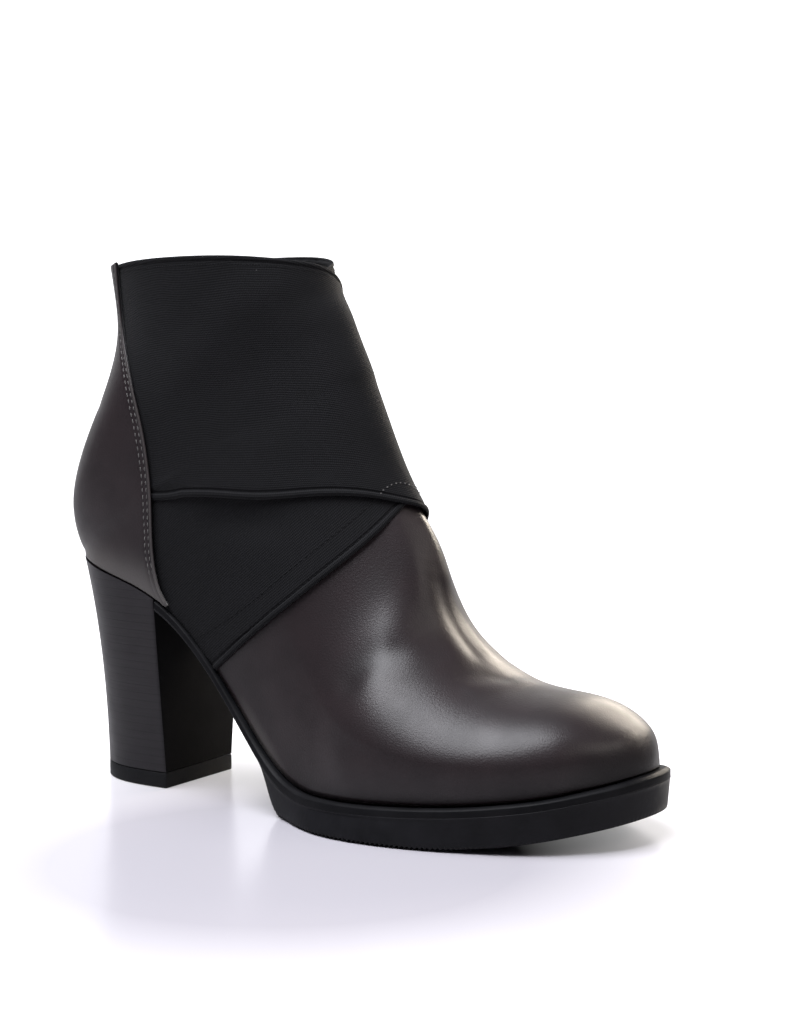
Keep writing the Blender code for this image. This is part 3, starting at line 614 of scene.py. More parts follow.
# Lines of a band's grid across it: close over the cord and its groove, wide over the flat weave.
SECOND_ROW = 10.5      # from an edge, the row that holds the vamp under the elastic
edge_steps = np.concatenate([np.linspace(0.0, 2.0 * ROLL_RADIUS, 11), np.linspace(2.7, 5.0, 8), (6.5, 8.5)])
middle_steps = np.linspace(SECOND_ROW, BAND_WIDTH - SECOND_ROW, 44)
across = np.concatenate([edge_steps, middle_steps, BAND_WIDTH - edge_steps[::-1]])


def band_grid(front):
    """Sections, turns, bare points, UV map, edge heights and share clear of the ends, over a band's grid."""
    grid = np.stack([band_line(share, front) for share in across / BAND_WIDTH], axis=1)
    s = np.clip(grid[..., 0], 0.0, TOP_ROW)
    t = np.clip(grid[..., 1], 0.0, 2.0)
    flat = surface(s, t)
    u = run_length(flat).mean(axis=1)[:, None] + np.zeros(s.shape)
    v = np.swapaxes(run_length(np.swapaxes(flat, 0, 1)), 0, 1)
    edges = rolled_edge(v, ROLL_RADIUS, ROLL_HEIGHT) + rolled_edge(v[:, -1:] - v, RIM_RADIUS, RIM_HEIGHT)
    clear = ease(np.minimum(u, u[-1:] - u) / END_DIVE)
    return s, t, flat, np.stack([u, v], axis=-1), edges, clear


over_s, over_t, over_flat, over_uv, over_edges, over_clear = band_grid(OVER_FRONT)
under_s, under_t, under_flat, under_uv, under_edges, under_clear = band_grid(UNDER_FRONT)
under_t = 2.0 - under_t
under_flat = surface(under_s, under_t)

# The over band lies on the other one below its turning edge on the right, and above its lower edge on
# the left.
turn_low = np.array(BAND_EDGES[-1][3:])
turn_high = np.array(BAND_EDGES[-4][3:])
turn_line = (turn_high - turn_low) / np.linalg.norm(turn_high - turn_low)
over_x, _, over_z = np.moveaxis(over_flat, -1, 0)
above_turn = (over_z - turn_low[1]) * turn_line[0] - (over_x - turn_low[0]) * turn_line[1]
lift_right = 1.0 - ease((above_turn - RAMP_CLEAR) / RAMP)
lift_left = ease((over_z - BAND_EDGES[0][2] - FRONT_CLEAR + FRONT_RAMP) / FRONT_RAMP)
on_left = ease((over_t - CROSS_TURN[0]) / (CROSS_TURN[1] - CROSS_TURN[0]))
lift = lift_right * (1.0 - on_left) + lift_left * on_left
over_height = END_HEIGHT + (UNDER_HEIGHT + lift * LAYER - END_HEIGHT) * over_clear + over_edges
over_points = over_flat + outward(over_s, over_t) * over_height[..., None]
UNDER_END = 0.5        # the under band's end lies below the over band's
under_height = UNDER_END + (UNDER_HEIGHT - UNDER_END) * under_clear + under_edges - slack(under_flat)
under_points = under_flat + outward(under_s, under_t) * under_height[..., None]

# Weave: ribs along the band over fine cross threads, from the band's own UV map in millimetres.
WEAVE_SIZES = {"Rib": 0.9, "Cross": 0.65}
WEAVE_DEPTH = 0.13
RIB_SHARE = 0.45       # shares of that depth
CROSS_SHARE = 0.35
KNOT_SHARE = 0.2       # where rib and cross thread meet
LINT_PITCH = 0.11      # specks of lint per millimetre each way
LINT_EDGE = (0.012, 0.02)    # a speck's size, as shares of the way between specks
weave, weave_in, weave_out = new_group("elastic_weave", WEAVE_SIZES, ("Height", "Cloud", "Speck"))
weave_uv = add_node(weave, "ShaderNodeUVMap", uv_map="cloth").outputs["UV"]
weave_wobble = add_node(weave, "ShaderNodeTexNoise", {"Vector": weave_uv, "Scale": 0.25, "Detail": 2.0})
weave_split = add_node(weave, "ShaderNodeSeparateXYZ", {"Vector": weave_uv})


def thread_wave(along, pitch, wobble):
    """Rounded threads, 0 between and 1 on top, a pitch apart."""
    turns = maths(weave, 'DIVIDE', along, pitch)
    turns = maths(weave, 'ADD', turns, maths(weave, 'MULTIPLY', weave_wobble.outputs["Fac"], wobble))
    swing = maths(weave, 'SINE', maths(weave, 'MULTIPLY', turns, 2.0 * pi))
    return maths(weave, 'MULTIPLY_ADD', swing, 0.5, 0.5)


weave_rib = thread_wave(weave_split.outputs["Y"], weave_in.outputs["Rib"], 0.1)
weave_cross = thread_wave(weave_split.outputs["X"], weave_in.outputs["Cross"], 0.15)
weave_knots = maths(weave, 'MULTIPLY', maths(weave, 'MULTIPLY', weave_rib, weave_cross), KNOT_SHARE)
weave_threads = maths(weave, 'MULTIPLY_ADD', weave_rib, RIB_SHARE,
                      maths(weave, 'MULTIPLY_ADD', weave_cross, CROSS_SHARE, weave_knots))
feed(weave, weave_out.inputs["Height"], weave_threads)
weave_specks = add_node(weave, "ShaderNodeTexVoronoi", {
    "Vector": weave_uv, "Scale": LINT_PITCH, "Randomness": 1.0,
})
weave_cloud = add_node(weave, "ShaderNodeTexNoise", {"Vector": weave_uv, "Scale": 0.07, "Detail": 3.0})
feed(weave, weave_out.inputs["Cloud"], weave_cloud.outputs["Fac"])
feed(weave, weave_out.inputs["Speck"], spread(weave, weave_specks.outputs["Distance"], *LINT_EDGE, 1.0, 0.0))

ELASTIC_DARK = (0.0020, 0.0020, 0.0026, 1.0)
ELASTIC_LIGHT = (0.0102, 0.0098, 0.0118, 1.0)
ELASTIC_LINT = (0.16, 0.15, 0.15, 1.0)
elastic, elastic_tree, elastic_shader = new_material("ribbed_elastic", {
    "Sheen Weight": 0.04, "Sheen Roughness": 0.45, "Specular IOR Level": 0.2,
})
elastic_weave = use_group(elastic_tree, weave, WEAVE_SIZES)
elastic_shade = maths(elastic_tree, 'MULTIPLY', elastic_weave.outputs["Height"],
                      spread(elastic_tree, elastic_weave.outputs["Cloud"], *CLOUD, 0.7, 1.0))
elastic_colour = blend_colours(elastic_tree, elastic_shade, ELASTIC_DARK, ELASTIC_LIGHT)
feed(elastic_tree, elastic_shader.inputs["Base Color"],
     blend_colours(elastic_tree, elastic_weave.outputs["Speck"], elastic_colour, ELASTIC_LINT))
feed(elastic_tree, elastic_shader.inputs["Roughness"],
     spread(elastic_tree, elastic_weave.outputs["Height"], 0.0, 1.0, 0.9, 0.7))
bump(elastic_tree, elastic_shader, elastic_weave.outputs["Height"], WEAVE_DEPTH)

over_mesh = sheet_mesh("band_over", over_points[:, ::-1], over_uv[:, ::-1])
under_mesh = sheet_mesh("band_under", under_points, under_uv)
band_over = place(over_mesh, "elastic_band_over", "elastic", (elastic,), BAND_THICK)
band_under = place(under_mesh, "elastic_band_under", "elastic", (elastic,), BAND_THICK)

# Stitching: rows of lockstitch in twisted thread, dark on the elastic and pale where it shows on purpose.
# A tree of nodes sets one thread bead per stitch along a path of edges.
stitch_tree = bpy.data.node_groups.new("stitch_row", "GeometryNodeTree")
stitch_tree.interface.new_socket("Path", in_out="INPUT", socket_type="NodeSocketGeometry")
add_inputs(stitch_tree, {"Pitch": 3.0 * MM, "Length": 2.2 * MM, "Thickness": 0.5 * MM})
stitch_tree.interface.new_socket("Thread", in_out="INPUT", socket_type="NodeSocketMaterial")
stitch_tree.interface.new_socket("Stitches", in_out="OUTPUT", socket_type="NodeSocketGeometry")
stitch_in = stitch_tree.nodes.new("NodeGroupInput")
stitch_curve = add_node(stitch_tree, "GeometryNodeMeshToCurve", {"Mesh": stitch_in.outputs["Path"]})
stitch_spots = add_node(stitch_tree, "GeometryNodeCurveToPoints", {
    "Curve": stitch_curve.outputs["Curve"], "Length": stitch_in.outputs["Pitch"],
}, mode='LENGTH')
stitch_bead = add_node(stitch_tree, "GeometryNodeMeshUVSphere", {"Segments": 8, "Rings": 6, "Radius": 0.5})
stitch_scale = add_node(stitch_tree, "ShaderNodeCombineXYZ", {
    "X": stitch_in.outputs["Thickness"],
    "Y": stitch_in.outputs["Thickness"],
    "Z": stitch_in.outputs["Length"],
})
stitch_turn = add_node(stitch_tree, "FunctionNodeAlignRotationToVector", {
    "Vector": stitch_spots.outputs["Tangent"],
}, axis='Z')
stitch_set = add_node(stitch_tree, "GeometryNodeInstanceOnPoints", {
    "Points": stitch_spots.outputs["Points"], "Instance": stitch_bead.outputs["Mesh"],
    "Rotation": stitch_turn.outputs["Rotation"], "Scale": stitch_scale.outputs["Vector"],
})
stitch_real = add_node(stitch_tree, "GeometryNodeRealizeInstances", {
    "Geometry": stitch_set.outputs["Instances"],
})
stitch_smooth = add_node(stitch_tree, "GeometryNodeSetShadeSmooth", {
    "Geometry": stitch_real.outputs["Geometry"],
})
stitch_done = add_node(stitch_tree, "GeometryNodeSetMaterial", {
    "Geometry": stitch_smooth.outputs["Geometry"], "Material": stitch_in.outputs["Thread"],
})
stitch_out = stitch_tree.nodes.new("NodeGroupOutput")
feed(stitch_tree, stitch_out.inputs["Stitches"], stitch_done.outputs["Geometry"])


def sew(name, paths, slot, thread, sizes):
    """Stitches along paths in millimetres, as one plain mesh on the boot."""
    points = []
    edges = []
    for path in paths:
        edges += [(len(points) + i, len(points) + i + 1) for i in range(len(path) - 1)]
        points += framed(path)
    guide_mesh = bpy.data.meshes.new(name)
    guide_mesh.from_pydata(points, edges, [])
    guide = bpy.data.objects.new(name + "_guide", guide_mesh)
    bpy.context.scene.collection.objects.link(guide)
    row = guide.modifiers.new("stitches", 'NODES')
    row.node_group = stitch_tree
    values = dict(sizes, Thread=thread)
    for item in stitch_tree.interface.items_tree:
        if item.in_out == "INPUT" and item.name in values:
            row[item.identifier] = values[item.name]
    seen = guide.evaluated_get(bpy.context.evaluated_depsgraph_get())
    mesh = bpy.data.meshes.new_from_object(seen)
    bpy.data.objects.remove(guide)
    mesh.name = name
    return place(mesh, None, slot, ())


def snapped(piece, path, lift_off):
    """Path moved onto a piece's outer face, and a little off it."""
    mesh = piece.data
    corners = [vertex.co for vertex in mesh.vertices]
    tree = BVHTree.FromPolygons(corners, [face.vertices[:] for face in mesh.polygons])
    found = []
    for spot in framed(path):
        near, normal = tree.find_nearest(spot)[:2]
        found.append(np.array(near + normal * (lift_off * MM)) / MM + MIDDLE)
    return np.array(found)


def column_at(distance):
    """Column of the band grid at a distance from its lower edge."""
    return int(np.argmin(np.abs(across - distance)))


def thread_material(name, colour, pale):
    """Twisted thread, with a little painted sheen on top of the twist."""
    material, tree, shader = new_material(name, {"Roughness": 0.7, "Specular IOR Level": 0.2})
    place_in = add_node(tree, "ShaderNodeTexCoord").outputs["Object"]
    twist = add_node(tree, "ShaderNodeTexWave", {"Vector": place_in, "Scale": 0.6 / MM, "Distortion": 2.0})
    feed(tree, shader.inputs["Base Color"], blend_colours(tree, twist.outputs["Fac"], colour, pale))
    bump(tree, shader, twist.outputs["Fac"], 0.05)
    return material


EDGE_ROW = 2.0 * ROLL_RADIUS + 0.5    # stitches in the groove beside the corded edge
COLLAR_SEAM = BAND_WIDTH - 3.2
PAST_RIDGE = 12        # the diagonal rows begin this many grid lines past the front ridge
BEFORE_END = 6         # and each row keeps this many from a band's end
BAND_PROUD = 0.05      # thread stands this much proud of the elastic
FRONT_PROUD = 0.1
FRONT_ROW = ((20.4, -12.4, 119.2), (21.4, -11.4, 120.6), (23.2, -7.3, 122.4), (25.2, -2.2, 122.3),
             (26.4, 2.5, 120.9), (26.0, 7.5, 118.5))
DARK_THREAD = thread_material("dark_thread", (0.0045, 0.0044, 0.0052, 1.0), (0.016, 0.0155, 0.0175, 1.0))
diagonal = slice(RIGHT_STEPS + PAST_RIDGE, RIGHT_STEPS + LEFT_STEPS - BEFORE_END)
beside_collar = slice(BEFORE_END, RIGHT_STEPS)
band_rows = []
for row in (EDGE_ROW, SECOND_ROW):
    band_rows.append(snapped(band_under, under_points[diagonal, column_at(row)], BAND_PROUD))
    band_rows.append(snapped(band_over, over_points[diagonal, column_at(row)], BAND_PROUD))
collar_rows = [
    snapped(band_over, over_points[beside_collar, column_at(COLLAR_SEAM)], 0.0),
    snapped(band_under, under_points[beside_collar, column_at(COLLAR_SEAM)], 0.0),
]
sew("band_stitches", band_rows, "elastic", DARK_THREAD,
    {"Pitch": 2.5 * MM, "Length": 1.9 * MM, "Thickness": 0.34 * MM})
sew("collar_stitches", collar_rows, "elastic", DARK_THREAD,
    {"Pitch": 1.1 * MM, "Length": 0.75 * MM, "Thickness": 0.34 * MM})
PALE_THREAD = thread_material("pale_thread", (0.10, 0.095, 0.095, 1.0), (0.22, 0.21, 0.20, 1.0))
front_rows = [snapped(band_over, smooth_line(FRONT_ROW, 60), FRONT_PROUD)]
sew("front_stitches", front_rows, "elastic", PALE_THREAD,
    {"Pitch": 1.9 * MM, "Length": 0.75 * MM, "Thickness": 0.55 * MM})

# Heel counter: leather back piece, both sides in one sheet joined at the back seam. Its front edge is
# folded, laps over the bands and is held by two rows of pale stitches.
COUNTER = 1.2
COUNTER_OUT = 2.3      # outer face above the last
COUNTER_HEM = 0.004    # how far, in climb, its lower hem stays above the feather line
HEM_TUCK = 1.0         # the hem is drawn in this much, over a few millimetres, to sit on the heel
HEM_RISE = 3.5
HEM_FLOOR_REFLECTION = 1.0         # its round gets a pale painted reflection of the floor, over this height
HEM_REFLECTION_RISE = 6.0
COUNTER_TIP = (-65.5, 73.5)    # x and z of its foremost corner, on the hem
SEAT_STEPS = 80        # grid lines along the heel seat
SHAFT_STEPS = 120      # and up the back
COUNTER_STEPS = 46     # and from the hem or back seam to the front edge
COUNTER_CROWD = 1.8    # more than 1 crowds them towards that edge
FOLD_RADIUS = 0.8      # round of the folded edge
FOLD_RISE = 0.5
EDGE_DARK = 0.35       # darker beside the fold
EDGE_DARK_RUN = 1.9
EDGE_PALE = 0.9        # and paler on top of it
EDGE_PALE_AT = 0.5
SEAM_PRESS = 0.3       # the stitch rows press the leather in this much, and painted shade darkens the channel
SEAM_HALF = 0.55
SEAM_PAINTED_SHADE = 0.6
SEAM_ROWS = (2.3, 4.2)
SEAM_PROUD = 0.08
# Back seam: a groove down the middle, with painted shade in it as deep as the groove.
BACK_SEAM_DEPTH = 0.45
BACK_SEAM_HALF = 0.8
BACK_SEAM_PAINTED_SHADE = 1.2
SOFTEN = 0.45          # rows over which the counter is smoothed past the corner of the seat row
SOFTEN_REACH = 1.2     # how far from that row, in rows
SOFTEN_FROM = 0.3      # and how far from the hem or back seam, in shares of the way to the edge
COUNTER_FOLDS = (
    (-0.1, 1.8, ((-119.0, -17.7, 99.0), (-110.7, -22.7, 96.7), (-104.2, -25.0, 94.6))),
    (-0.07, 1.6, ((-121.0, -14.0, 103.5), (-113.0, -21.5, 101.0), (-106.0, -25.0, 98.5))),
    (0.08, 2.6, ((-120.0, -16.0, 101.0), (-112.0, -22.0, 99.0), (-105.0, -25.0, 96.5))),
    (-0.12, 1.8, ((-119.0, 17.7, 99.0), (-110.7, 22.7, 96.7), (-104.2, 25.0, 94.6))),
    (-0.2, 2.5, ((-113.0, -14.0, 148.0), (-106.0, -20.0, 146.0))),
)
first_counter_row = locate(*COUNTER_TIP)[0]
counter_rows = np.concatenate([np.linspace(first_counter_row, SEAT_ROW - 0.01, SEAT_STEPS),
                               np.linspace(SEAT_ROW + 0.01, COLLAR_ROW, SHAFT_STEPS)])
edge_heights = np.linspace(64.6, 203.5, 200)    # the whole of the front edge
edge_places = np.array([locate(counter_edge_x(z), z) for z in edge_heights])
edge_order = np.argsort(edge_places[:, 0])
edge_climb = np.interp(counter_rows, edge_places[edge_order, 0], edge_places[edge_order, 1])
low_climb = np.where(counter_rows < SEAT_ROW, np.minimum(COUNTER_HEM, 0.5 * edge_climb), 0.0)
counter_shares = 1.0 - (1.0 - np.linspace(0.0, 1.0, COUNTER_STEPS)) ** COUNTER_CROWD
counter_climb = low_climb[:, None] + (edge_climb - low_climb)[:, None] * counter_shares[None, :]
counter_s = np.repeat(counter_rows[:, None], COUNTER_STEPS, axis=1)


def softened(points):
    """Counter points smoothed from row to row round the seat row, except near the hem and back seam."""
    gap = counter_rows[:, None] - counter_rows[None, :]
    weight = np.exp(-(gap / SOFTEN) ** 2)
    weight = weight / weight.sum(axis=1, keepdims=True)
    even = np.einsum("ij,jkl->ikl", weight, points)
    near = np.exp(-((counter_rows - SEAT_ROW) / SOFTEN_REACH) ** 2)
    share = near[:, None] * ease(counter_shares / SOFTEN_FROM)[None, :]
    return points + share[..., None] * (even - points)


counter_halves = []
counter_painted_light = []
for turn in (counter_climb, 2.0 - counter_climb[:, ::-1]):
    bare = surface(counter_s, turn)
    on_right = turn is counter_climb
    edge_line = bare[:, -1] if on_right else bare[:, 0]
    away = distance_to(bare, edge_line)
    fold_turn = np.clip(away, 0.0, 2.0 * FOLD_RADIUS) / FOLD_RADIUS - 1.0
    fold = FOLD_RISE * np.sqrt(np.clip(1.0 - fold_turn ** 2, 0.0, 1.0))
    press = sum(SEAM_PRESS * np.exp(-((away - row) / SEAM_HALF) ** 2) for row in SEAM_ROWS)
    back_seam = BACK_SEAM_DEPTH * np.exp(-(bare[..., 1] / BACK_SEAM_HALF) ** 2)
    back_seam = np.where(counter_s >= SEAT_ROW, back_seam, 0.0)
    above_hem = np.clip(bare[..., 2] - LAST[SEAT_ROW][1], 0.0, None)
    above_hem = np.where(counter_s < SEAT_ROW, bare[..., 2] - last_at("low_z", counter_s), above_hem)
    tuck_in = HEM_TUCK * np.exp(-above_hem / HEM_RISE)
    height = COUNTER_OUT + fold - press - back_seam - tuck_in + fold_height(bare, COUNTER_FOLDS)
    raised = bare + outward(counter_s, turn) * height[..., None]
    counter_halves.append(softened(raised) if on_right else softened(raised[:, ::-1])[:, ::-1])
    # Painted light on the counter: a pale painted reflection of the floor on the hem's round. The fold is
    # also paler on top.
    pale = EDGE_PALE * np.exp(-((away - EDGE_PALE_AT) / EDGE_PALE_AT) ** 2)
    pale = pale + HEM_FLOOR_REFLECTION * np.exp(-(above_hem / HEM_REFLECTION_RISE) ** 2)
    # Painted shade in the stitch channels and the back seam's groove, as deep as each dent; darker beside the
    # fold.
    dark = EDGE_DARK * np.exp(-(away / EDGE_DARK_RUN) ** 2) + BACK_SEAM_PAINTED_SHADE * back_seam + SEAM_PAINTED_SHADE * press
    counter_painted_light.append(dark - pale)
counter_mesh = sheet_mesh("counter_leather", counter_halves[0])
left_mesh = sheet_mesh("counter_left", counter_halves[1])
store_painted_light(counter_mesh, counter_painted_light[0])
store_painted_light(left_mesh, counter_painted_light[1])
joined = bmesh.new()
joined.from_mesh(counter_mesh)
joined.from_mesh(left_mesh)
joined.to_mesh(counter_mesh)
joined.free()
weld(counter_mesh)
counter_leather = leather_material("counter_leather", HIDE_CELL)
counter = place(counter_mesh, "heel_counter", "leather", (counter_leather, lining), COUNTER)

# The stitch rows keep their distance from the folded edge, each a smooth line through a few of its points.
EDGE_PICK = slice(4, -2, 9)
INNER_LINE = -12       # the grid line that gives the way in from the edge
counter_paths = []
for half in (counter_halves[0], counter_halves[1][:, ::-1]):
    edge_line = smooth_line(half[EDGE_PICK, -1], 240)
    inner_line = smooth_line(half[EDGE_PICK, INNER_LINE], 240)
    run = np.gradient(edge_line, axis=0)
    run = run / np.linalg.norm(run, axis=1, keepdims=True)
    inward = inner_line - edge_line
    inward = inward - (inward * run).sum(axis=1, keepdims=True) * run
    inward = inward / np.linalg.norm(inward, axis=1, keepdims=True)
    for row in SEAM_ROWS:
        counter_paths.append(snapped(counter, (edge_line + inward * row)[8:-2], SEAM_PROUD))
sew("counter_stitches", counter_paths, "leather", PALE_THREAD,
    {"Pitch": 2.6 * MM, "Length": 1.7 * MM, "Thickness": 0.5 * MM})

# Insole: leather-covered board inside the upper, from toe to heel seat. It is cemented down on the lasted
# edge of the upper and is rounded at its rim.
INSOLE_THICK = 2.6
INSOLE_INSET = 3.3
INSOLE_PROFILE = ((1.6, 0.0), (0.6, 0.25), (0.1, 0.9), (0.0, 1.8), (0.3, 2.6))    # in, and down from its top
GAP = 0.3              # air between flat pieces that meet


def feather(s, side, out):
    """Feather line of one side, moved out in plan."""
    def line(spot):
        half = last_at("right", spot) if side < 0 else last_at("left", spot)
        return np.stack([last_at("low_x", spot),
                         last_at("swing", spot) + side * half * last_at("tuck", spot)], axis=-1)

    step = 0.01
    run = line(np.clip(s + step, 0.0, SEAT_ROW)) - line(np.clip(s - step, 0.0, SEAT_ROW))
    run = run / np.linalg.norm(run, axis=-1, keepdims=True)
    normal = side * np.stack([run[..., 1], -run[..., 0]], axis=-1)
    plan = line(s) + normal * np.asarray(out)[..., None]
    return np.concatenate([plan, last_at("low_z", s)[..., None]], axis=-1)


def outline(s, out, z):
    """Paired right and left outline points at the given sections and heights."""
    out = np.zeros(len(s)) + out
    pairs = np.stack([feather(s, -1, out), feather(s, 1, out)], axis=1)
    pairs[..., 2] = np.asarray(z)[..., None] if np.ndim(z) == 1 else z
    return pairs


def rows_at(xs):
    """Sections whose feather point has the given x."""
    scan = np.linspace(0.0, SEAT_ROW, 1401)
    return np.interp(-np.asarray(xs), -last_at("low_x", scan), scan)


SHARP = radians(50.0)  # a moulded or cut edge is sharp from here on


def block_mesh(name, levels):
    """Closed smooth mesh through levels of paired right and left outline points."""
    levels = np.array(levels)
    index = np.arange(levels[..., 0].size).reshape(levels.shape[:3])
    top_and_foot = [quads(index[level]) for level in (0, -1)]
    walls = [quads(index[..., side]) for side in (0, 1)]
    ends = [quads(index[:, end]) for end in (0, -1)]
    mesh = bpy.data.meshes.new(name)
    mesh.from_pydata(framed(levels), [], np.concatenate(top_and_foot + walls + ends).tolist())
    weld(mesh)
    shape = bmesh.new()
    shape.from_mesh(mesh)
    bmesh.ops.recalc_face_normals(shape, faces=shape.faces)
    shape.to_mesh(mesh)
    shape.free()
    mesh.shade_smooth()
    mesh.set_sharp_from_angle(angle=SHARP)
    return mesh


insole_rows = np.concatenate([np.linspace(0.5, 3.0, 30), np.linspace(3.1, 13.6, 110)])
insole_z = last_at("low_z", insole_rows) + GAP + INSOLE_THICK
insole_levels = [
    outline(insole_rows, -INSOLE_INSET - inset, insole_z - drop) for inset, drop in INSOLE_PROFILE
]
FOOTBED_COLOURS = ((0.035, 0.031, 0.031, 1.0), (0.058, 0.052, 0.051, 1.0))
footbed = clouded_material("footbed", grain, {"Cell": 0.9, "Cloud": 22.0}, FOOTBED_COLOURS, (0.6, 0.72),
                           GRAIN_DEPTH, {"Specular IOR Level": 0.4})
place(block_mesh("footbed", insole_levels), "insole", "footbed", (footbed,))

# Welt: a moulded black lip that runs round the boot between upper and outsole, cemented to both. It has a
# low bead beside the upper and slopes down to its rounded outer edge.
SOLE_COLUMNS = ("row", "welt_out", "outsole_out", "draft")
SOLE = (
    (0.0, 3.8, 3.5, 0.6), (3.0, 3.8, 3.5, 0.6), (5.0, 3.7, 3.5, 0.3), (6.0, 3.6, 3.4, -1.8),
    (6.6, 3.4, 3.2, -3.0), (7.1, 3.3, 3.1, -2.8), (7.5, 3.2, 3.0, -0.6), (8.0, 3.0, 2.8, 1.8),
    (9.0, 1.9, 1.7, 0.4), (11.0, 1.5, 1.3, 0.4), (14.0, 1.4, 1.2, 0.4),
)
SOLE_EASE = 0.3        # rows over which the table's corners are eased
SEAT_GAP = 0.4         # air between the curved feather line and the sole
WELT_THICK = 3.2
BREAST_X = -73.3
SOLE_STEP = 0.42       # spacing of the sole's sections along its edge
# Welt's section: out from its full reach, and down from its top.
WELT_PROFILE = (
    (-6.0, 0.25), (-2.5, 0.25), (-2.1, 0.05), (-1.7, 0.0), (-0.9, 0.25), (-0.3, 0.6), (-0.08, 0.8),
    (0.0, 1.05), (0.0, WELT_THICK), (-3.0, WELT_THICK),
)


def sole_at(name, s):
    """One column of the sole table at a section, its corners eased."""
    rows = np.array(SOLE)
    column = rows[:, SOLE_COLUMNS.index(name)]
    shifts = np.linspace(-SOLE_EASE, SOLE_EASE, 9)
    return np.mean([np.interp(s + shift, rows[:, 0], column) for shift in shifts], axis=0)


sole_scan = np.linspace(0.0, float(rows_at((BREAST_X + GAP,))[0]), 3000)
sole_run = run_length(feather(sole_scan, -1, np.zeros(len(sole_scan))))
sole_rows = np.interp(np.arange(0.0, sole_run[-1], SOLE_STEP), sole_run, sole_scan)
sole_along = np.interp(sole_rows, sole_scan, sole_run)
seat_z = last_at("low_z", sole_rows)
welt_out = sole_at("welt_out", sole_rows)
welt_levels = [
    outline(sole_rows, welt_out + out, seat_z - SEAT_GAP - drop) for out, drop in WELT_PROFILE
]

# Moulded rubber: faint orange-peel and dust in the finish of the sole.
RUBBER_SIZES = {"Peel": 1.4, "Cloud": 11.0}
moulding, moulding_in, moulding_out = new_group("moulded_rubber", RUBBER_SIZES, ("Height", "Cloud"))
moulding_place = add_node(moulding, "ShaderNodeTexCoord").outputs["Object"]
moulding_peel = noise(moulding, moulding_place, moulding_in.outputs["Peel"], 2.0)
moulding_cloud = noise(moulding, moulding_place, moulding_in.outputs["Cloud"], 3.0)
feed(moulding, moulding_out.inputs["Height"], moulding_peel)
feed(moulding, moulding_out.inputs["Cloud"], moulding_cloud)

WELT_COLOURS = ((0.006, 0.006, 0.007, 1.0), (0.0105, 0.0102, 0.0115, 1.0))
welt_finish = clouded_material("welt_finish", moulding, RUBBER_SIZES, WELT_COLOURS, (0.44, 0.54), 0.03,
                               {"Specular IOR Level": 0.1})
place(block_mesh("welt_lip", welt_levels), "welt", "sole_rubber", (welt_finish,))

# Outsole: one moulded platform, thin under the waist, flat at the ball and sprung at the toe. Its tread
# runs out to the lower edge in fine teeth.
WAIST_THICK = 1.6
FLAT_START_X = -11.0
FLAT_END_X = 56.0
PLATFORM_SLOPE = 2.0
REAR_ROUND = 4.0       # rounding between the platform's rear face and its flat tread
TOE_SPRING = 11.0
SPRING_CURVE = 1.7
SOLE_TIP_X = LAST[0][0] + SOLE[0][2]
JOINT = 0.02           # it is cemented to the welt with hardly a gap
JOINT_LIP = 0.2        # and stands out a hair at the joint
JOINT_PROFILE = ((0.5, 0.0), (1.0, 0.12), (1.0, 0.35), (0.0, 0.65))    # share of that lip, and down
JOINT_FOOT = JOINT_PROFILE[-1][1]
JOINT_BACK = 0.1       # the wall begins at most this far behind the welt's edge
TOP_INSET = 4.0        # the hidden top runs this far in under the welt
WALL_LEVELS = 7
EDGE_RISE = 1.1        # the wall ends this far above the tread, where the teeth begin
EDGE_ROUND = 0.25
TOOTH = 1.8
TOOTH_DEPTH = 0.9
TOOTH_IN = 0.3         # a notch's depth in plan
TEETH_WALL = 3.0       # there are teeth only where the wall is higher than this
TEETH_GROW = 4.0       # and they are full where it is this much higher still
TEETH_FADE_X = 50.0    # the teeth run out from here to the toe
TEETH_FADE = 40.0
TREAD_INSETS = (0.9, 3.0)    # lines of the tread, in from its edge


def underside(x, waist_z):
    """Height of the outsole's underside: waist, platform, flat tread, then toe spring."""
    spring = TOE_SPRING * np.clip((x - FLAT_END_X) / (SOLE_TIP_X - FLAT_END_X), 0.0, None) ** SPRING_CURVE
    back = np.clip(FLAT_START_X + REAR_ROUND - x, 0.0, None)
    rear = np.where(back < 2.0 * REAR_ROUND, back ** 2 / (4.0 * REAR_ROUND), back - REAR_ROUND)
    return np.where(x < FLAT_END_X, np.minimum(PLATFORM_SLOPE * rear, waist_z), spring)


tread_top_z = seat_z - SEAT_GAP - WELT_THICK - JOINT
tread_z = underside(last_at("low_x", sole_rows), tread_top_z - WAIST_THICK)
tread_out = sole_at("outsole_out", sole_rows)
tread_draft = sole_at("draft", sole_rows)
teeth = 0.5 + 0.5 * np.cos(2.0 * pi * sole_along / TOOTH)
tooth_depth = TOOTH_DEPTH * ease((tread_top_z - tread_z - TEETH_WALL) / TEETH_GROW)
tooth_depth = tooth_depth * (1.0 - ease((last_at("low_x", sole_rows) - TEETH_FADE_X) / TEETH_FADE))
flush_out = np.maximum(tread_out, welt_out - JOINT_BACK)
foot_out = tread_out - tread_draft
tread_levels = [outline(sole_rows, tread_out - TOP_INSET, tread_top_z)]
for lip, drop in JOINT_PROFILE:
    tread_levels.append(outline(sole_rows, flush_out + lip * JOINT_LIP, tread_top_z - drop))
for share in np.linspace(0.15, 1.0, WALL_LEVELS):
    wall_out = flush_out * (1.0 - share) + foot_out * share
    wall_z = (tread_top_z - JOINT_FOOT) * (1.0 - share) + (tread_z + EDGE_RISE) * share
    tread_levels.append(outline(sole_rows, wall_out, wall_z))
notch_z = tread_z + tooth_depth * teeth
tread_levels.append(outline(sole_rows, foot_out - EDGE_ROUND - TOOTH_IN * teeth, notch_z + EDGE_ROUND))
tread_levels.append(outline(sole_rows, foot_out - TREAD_INSETS[0], notch_z))
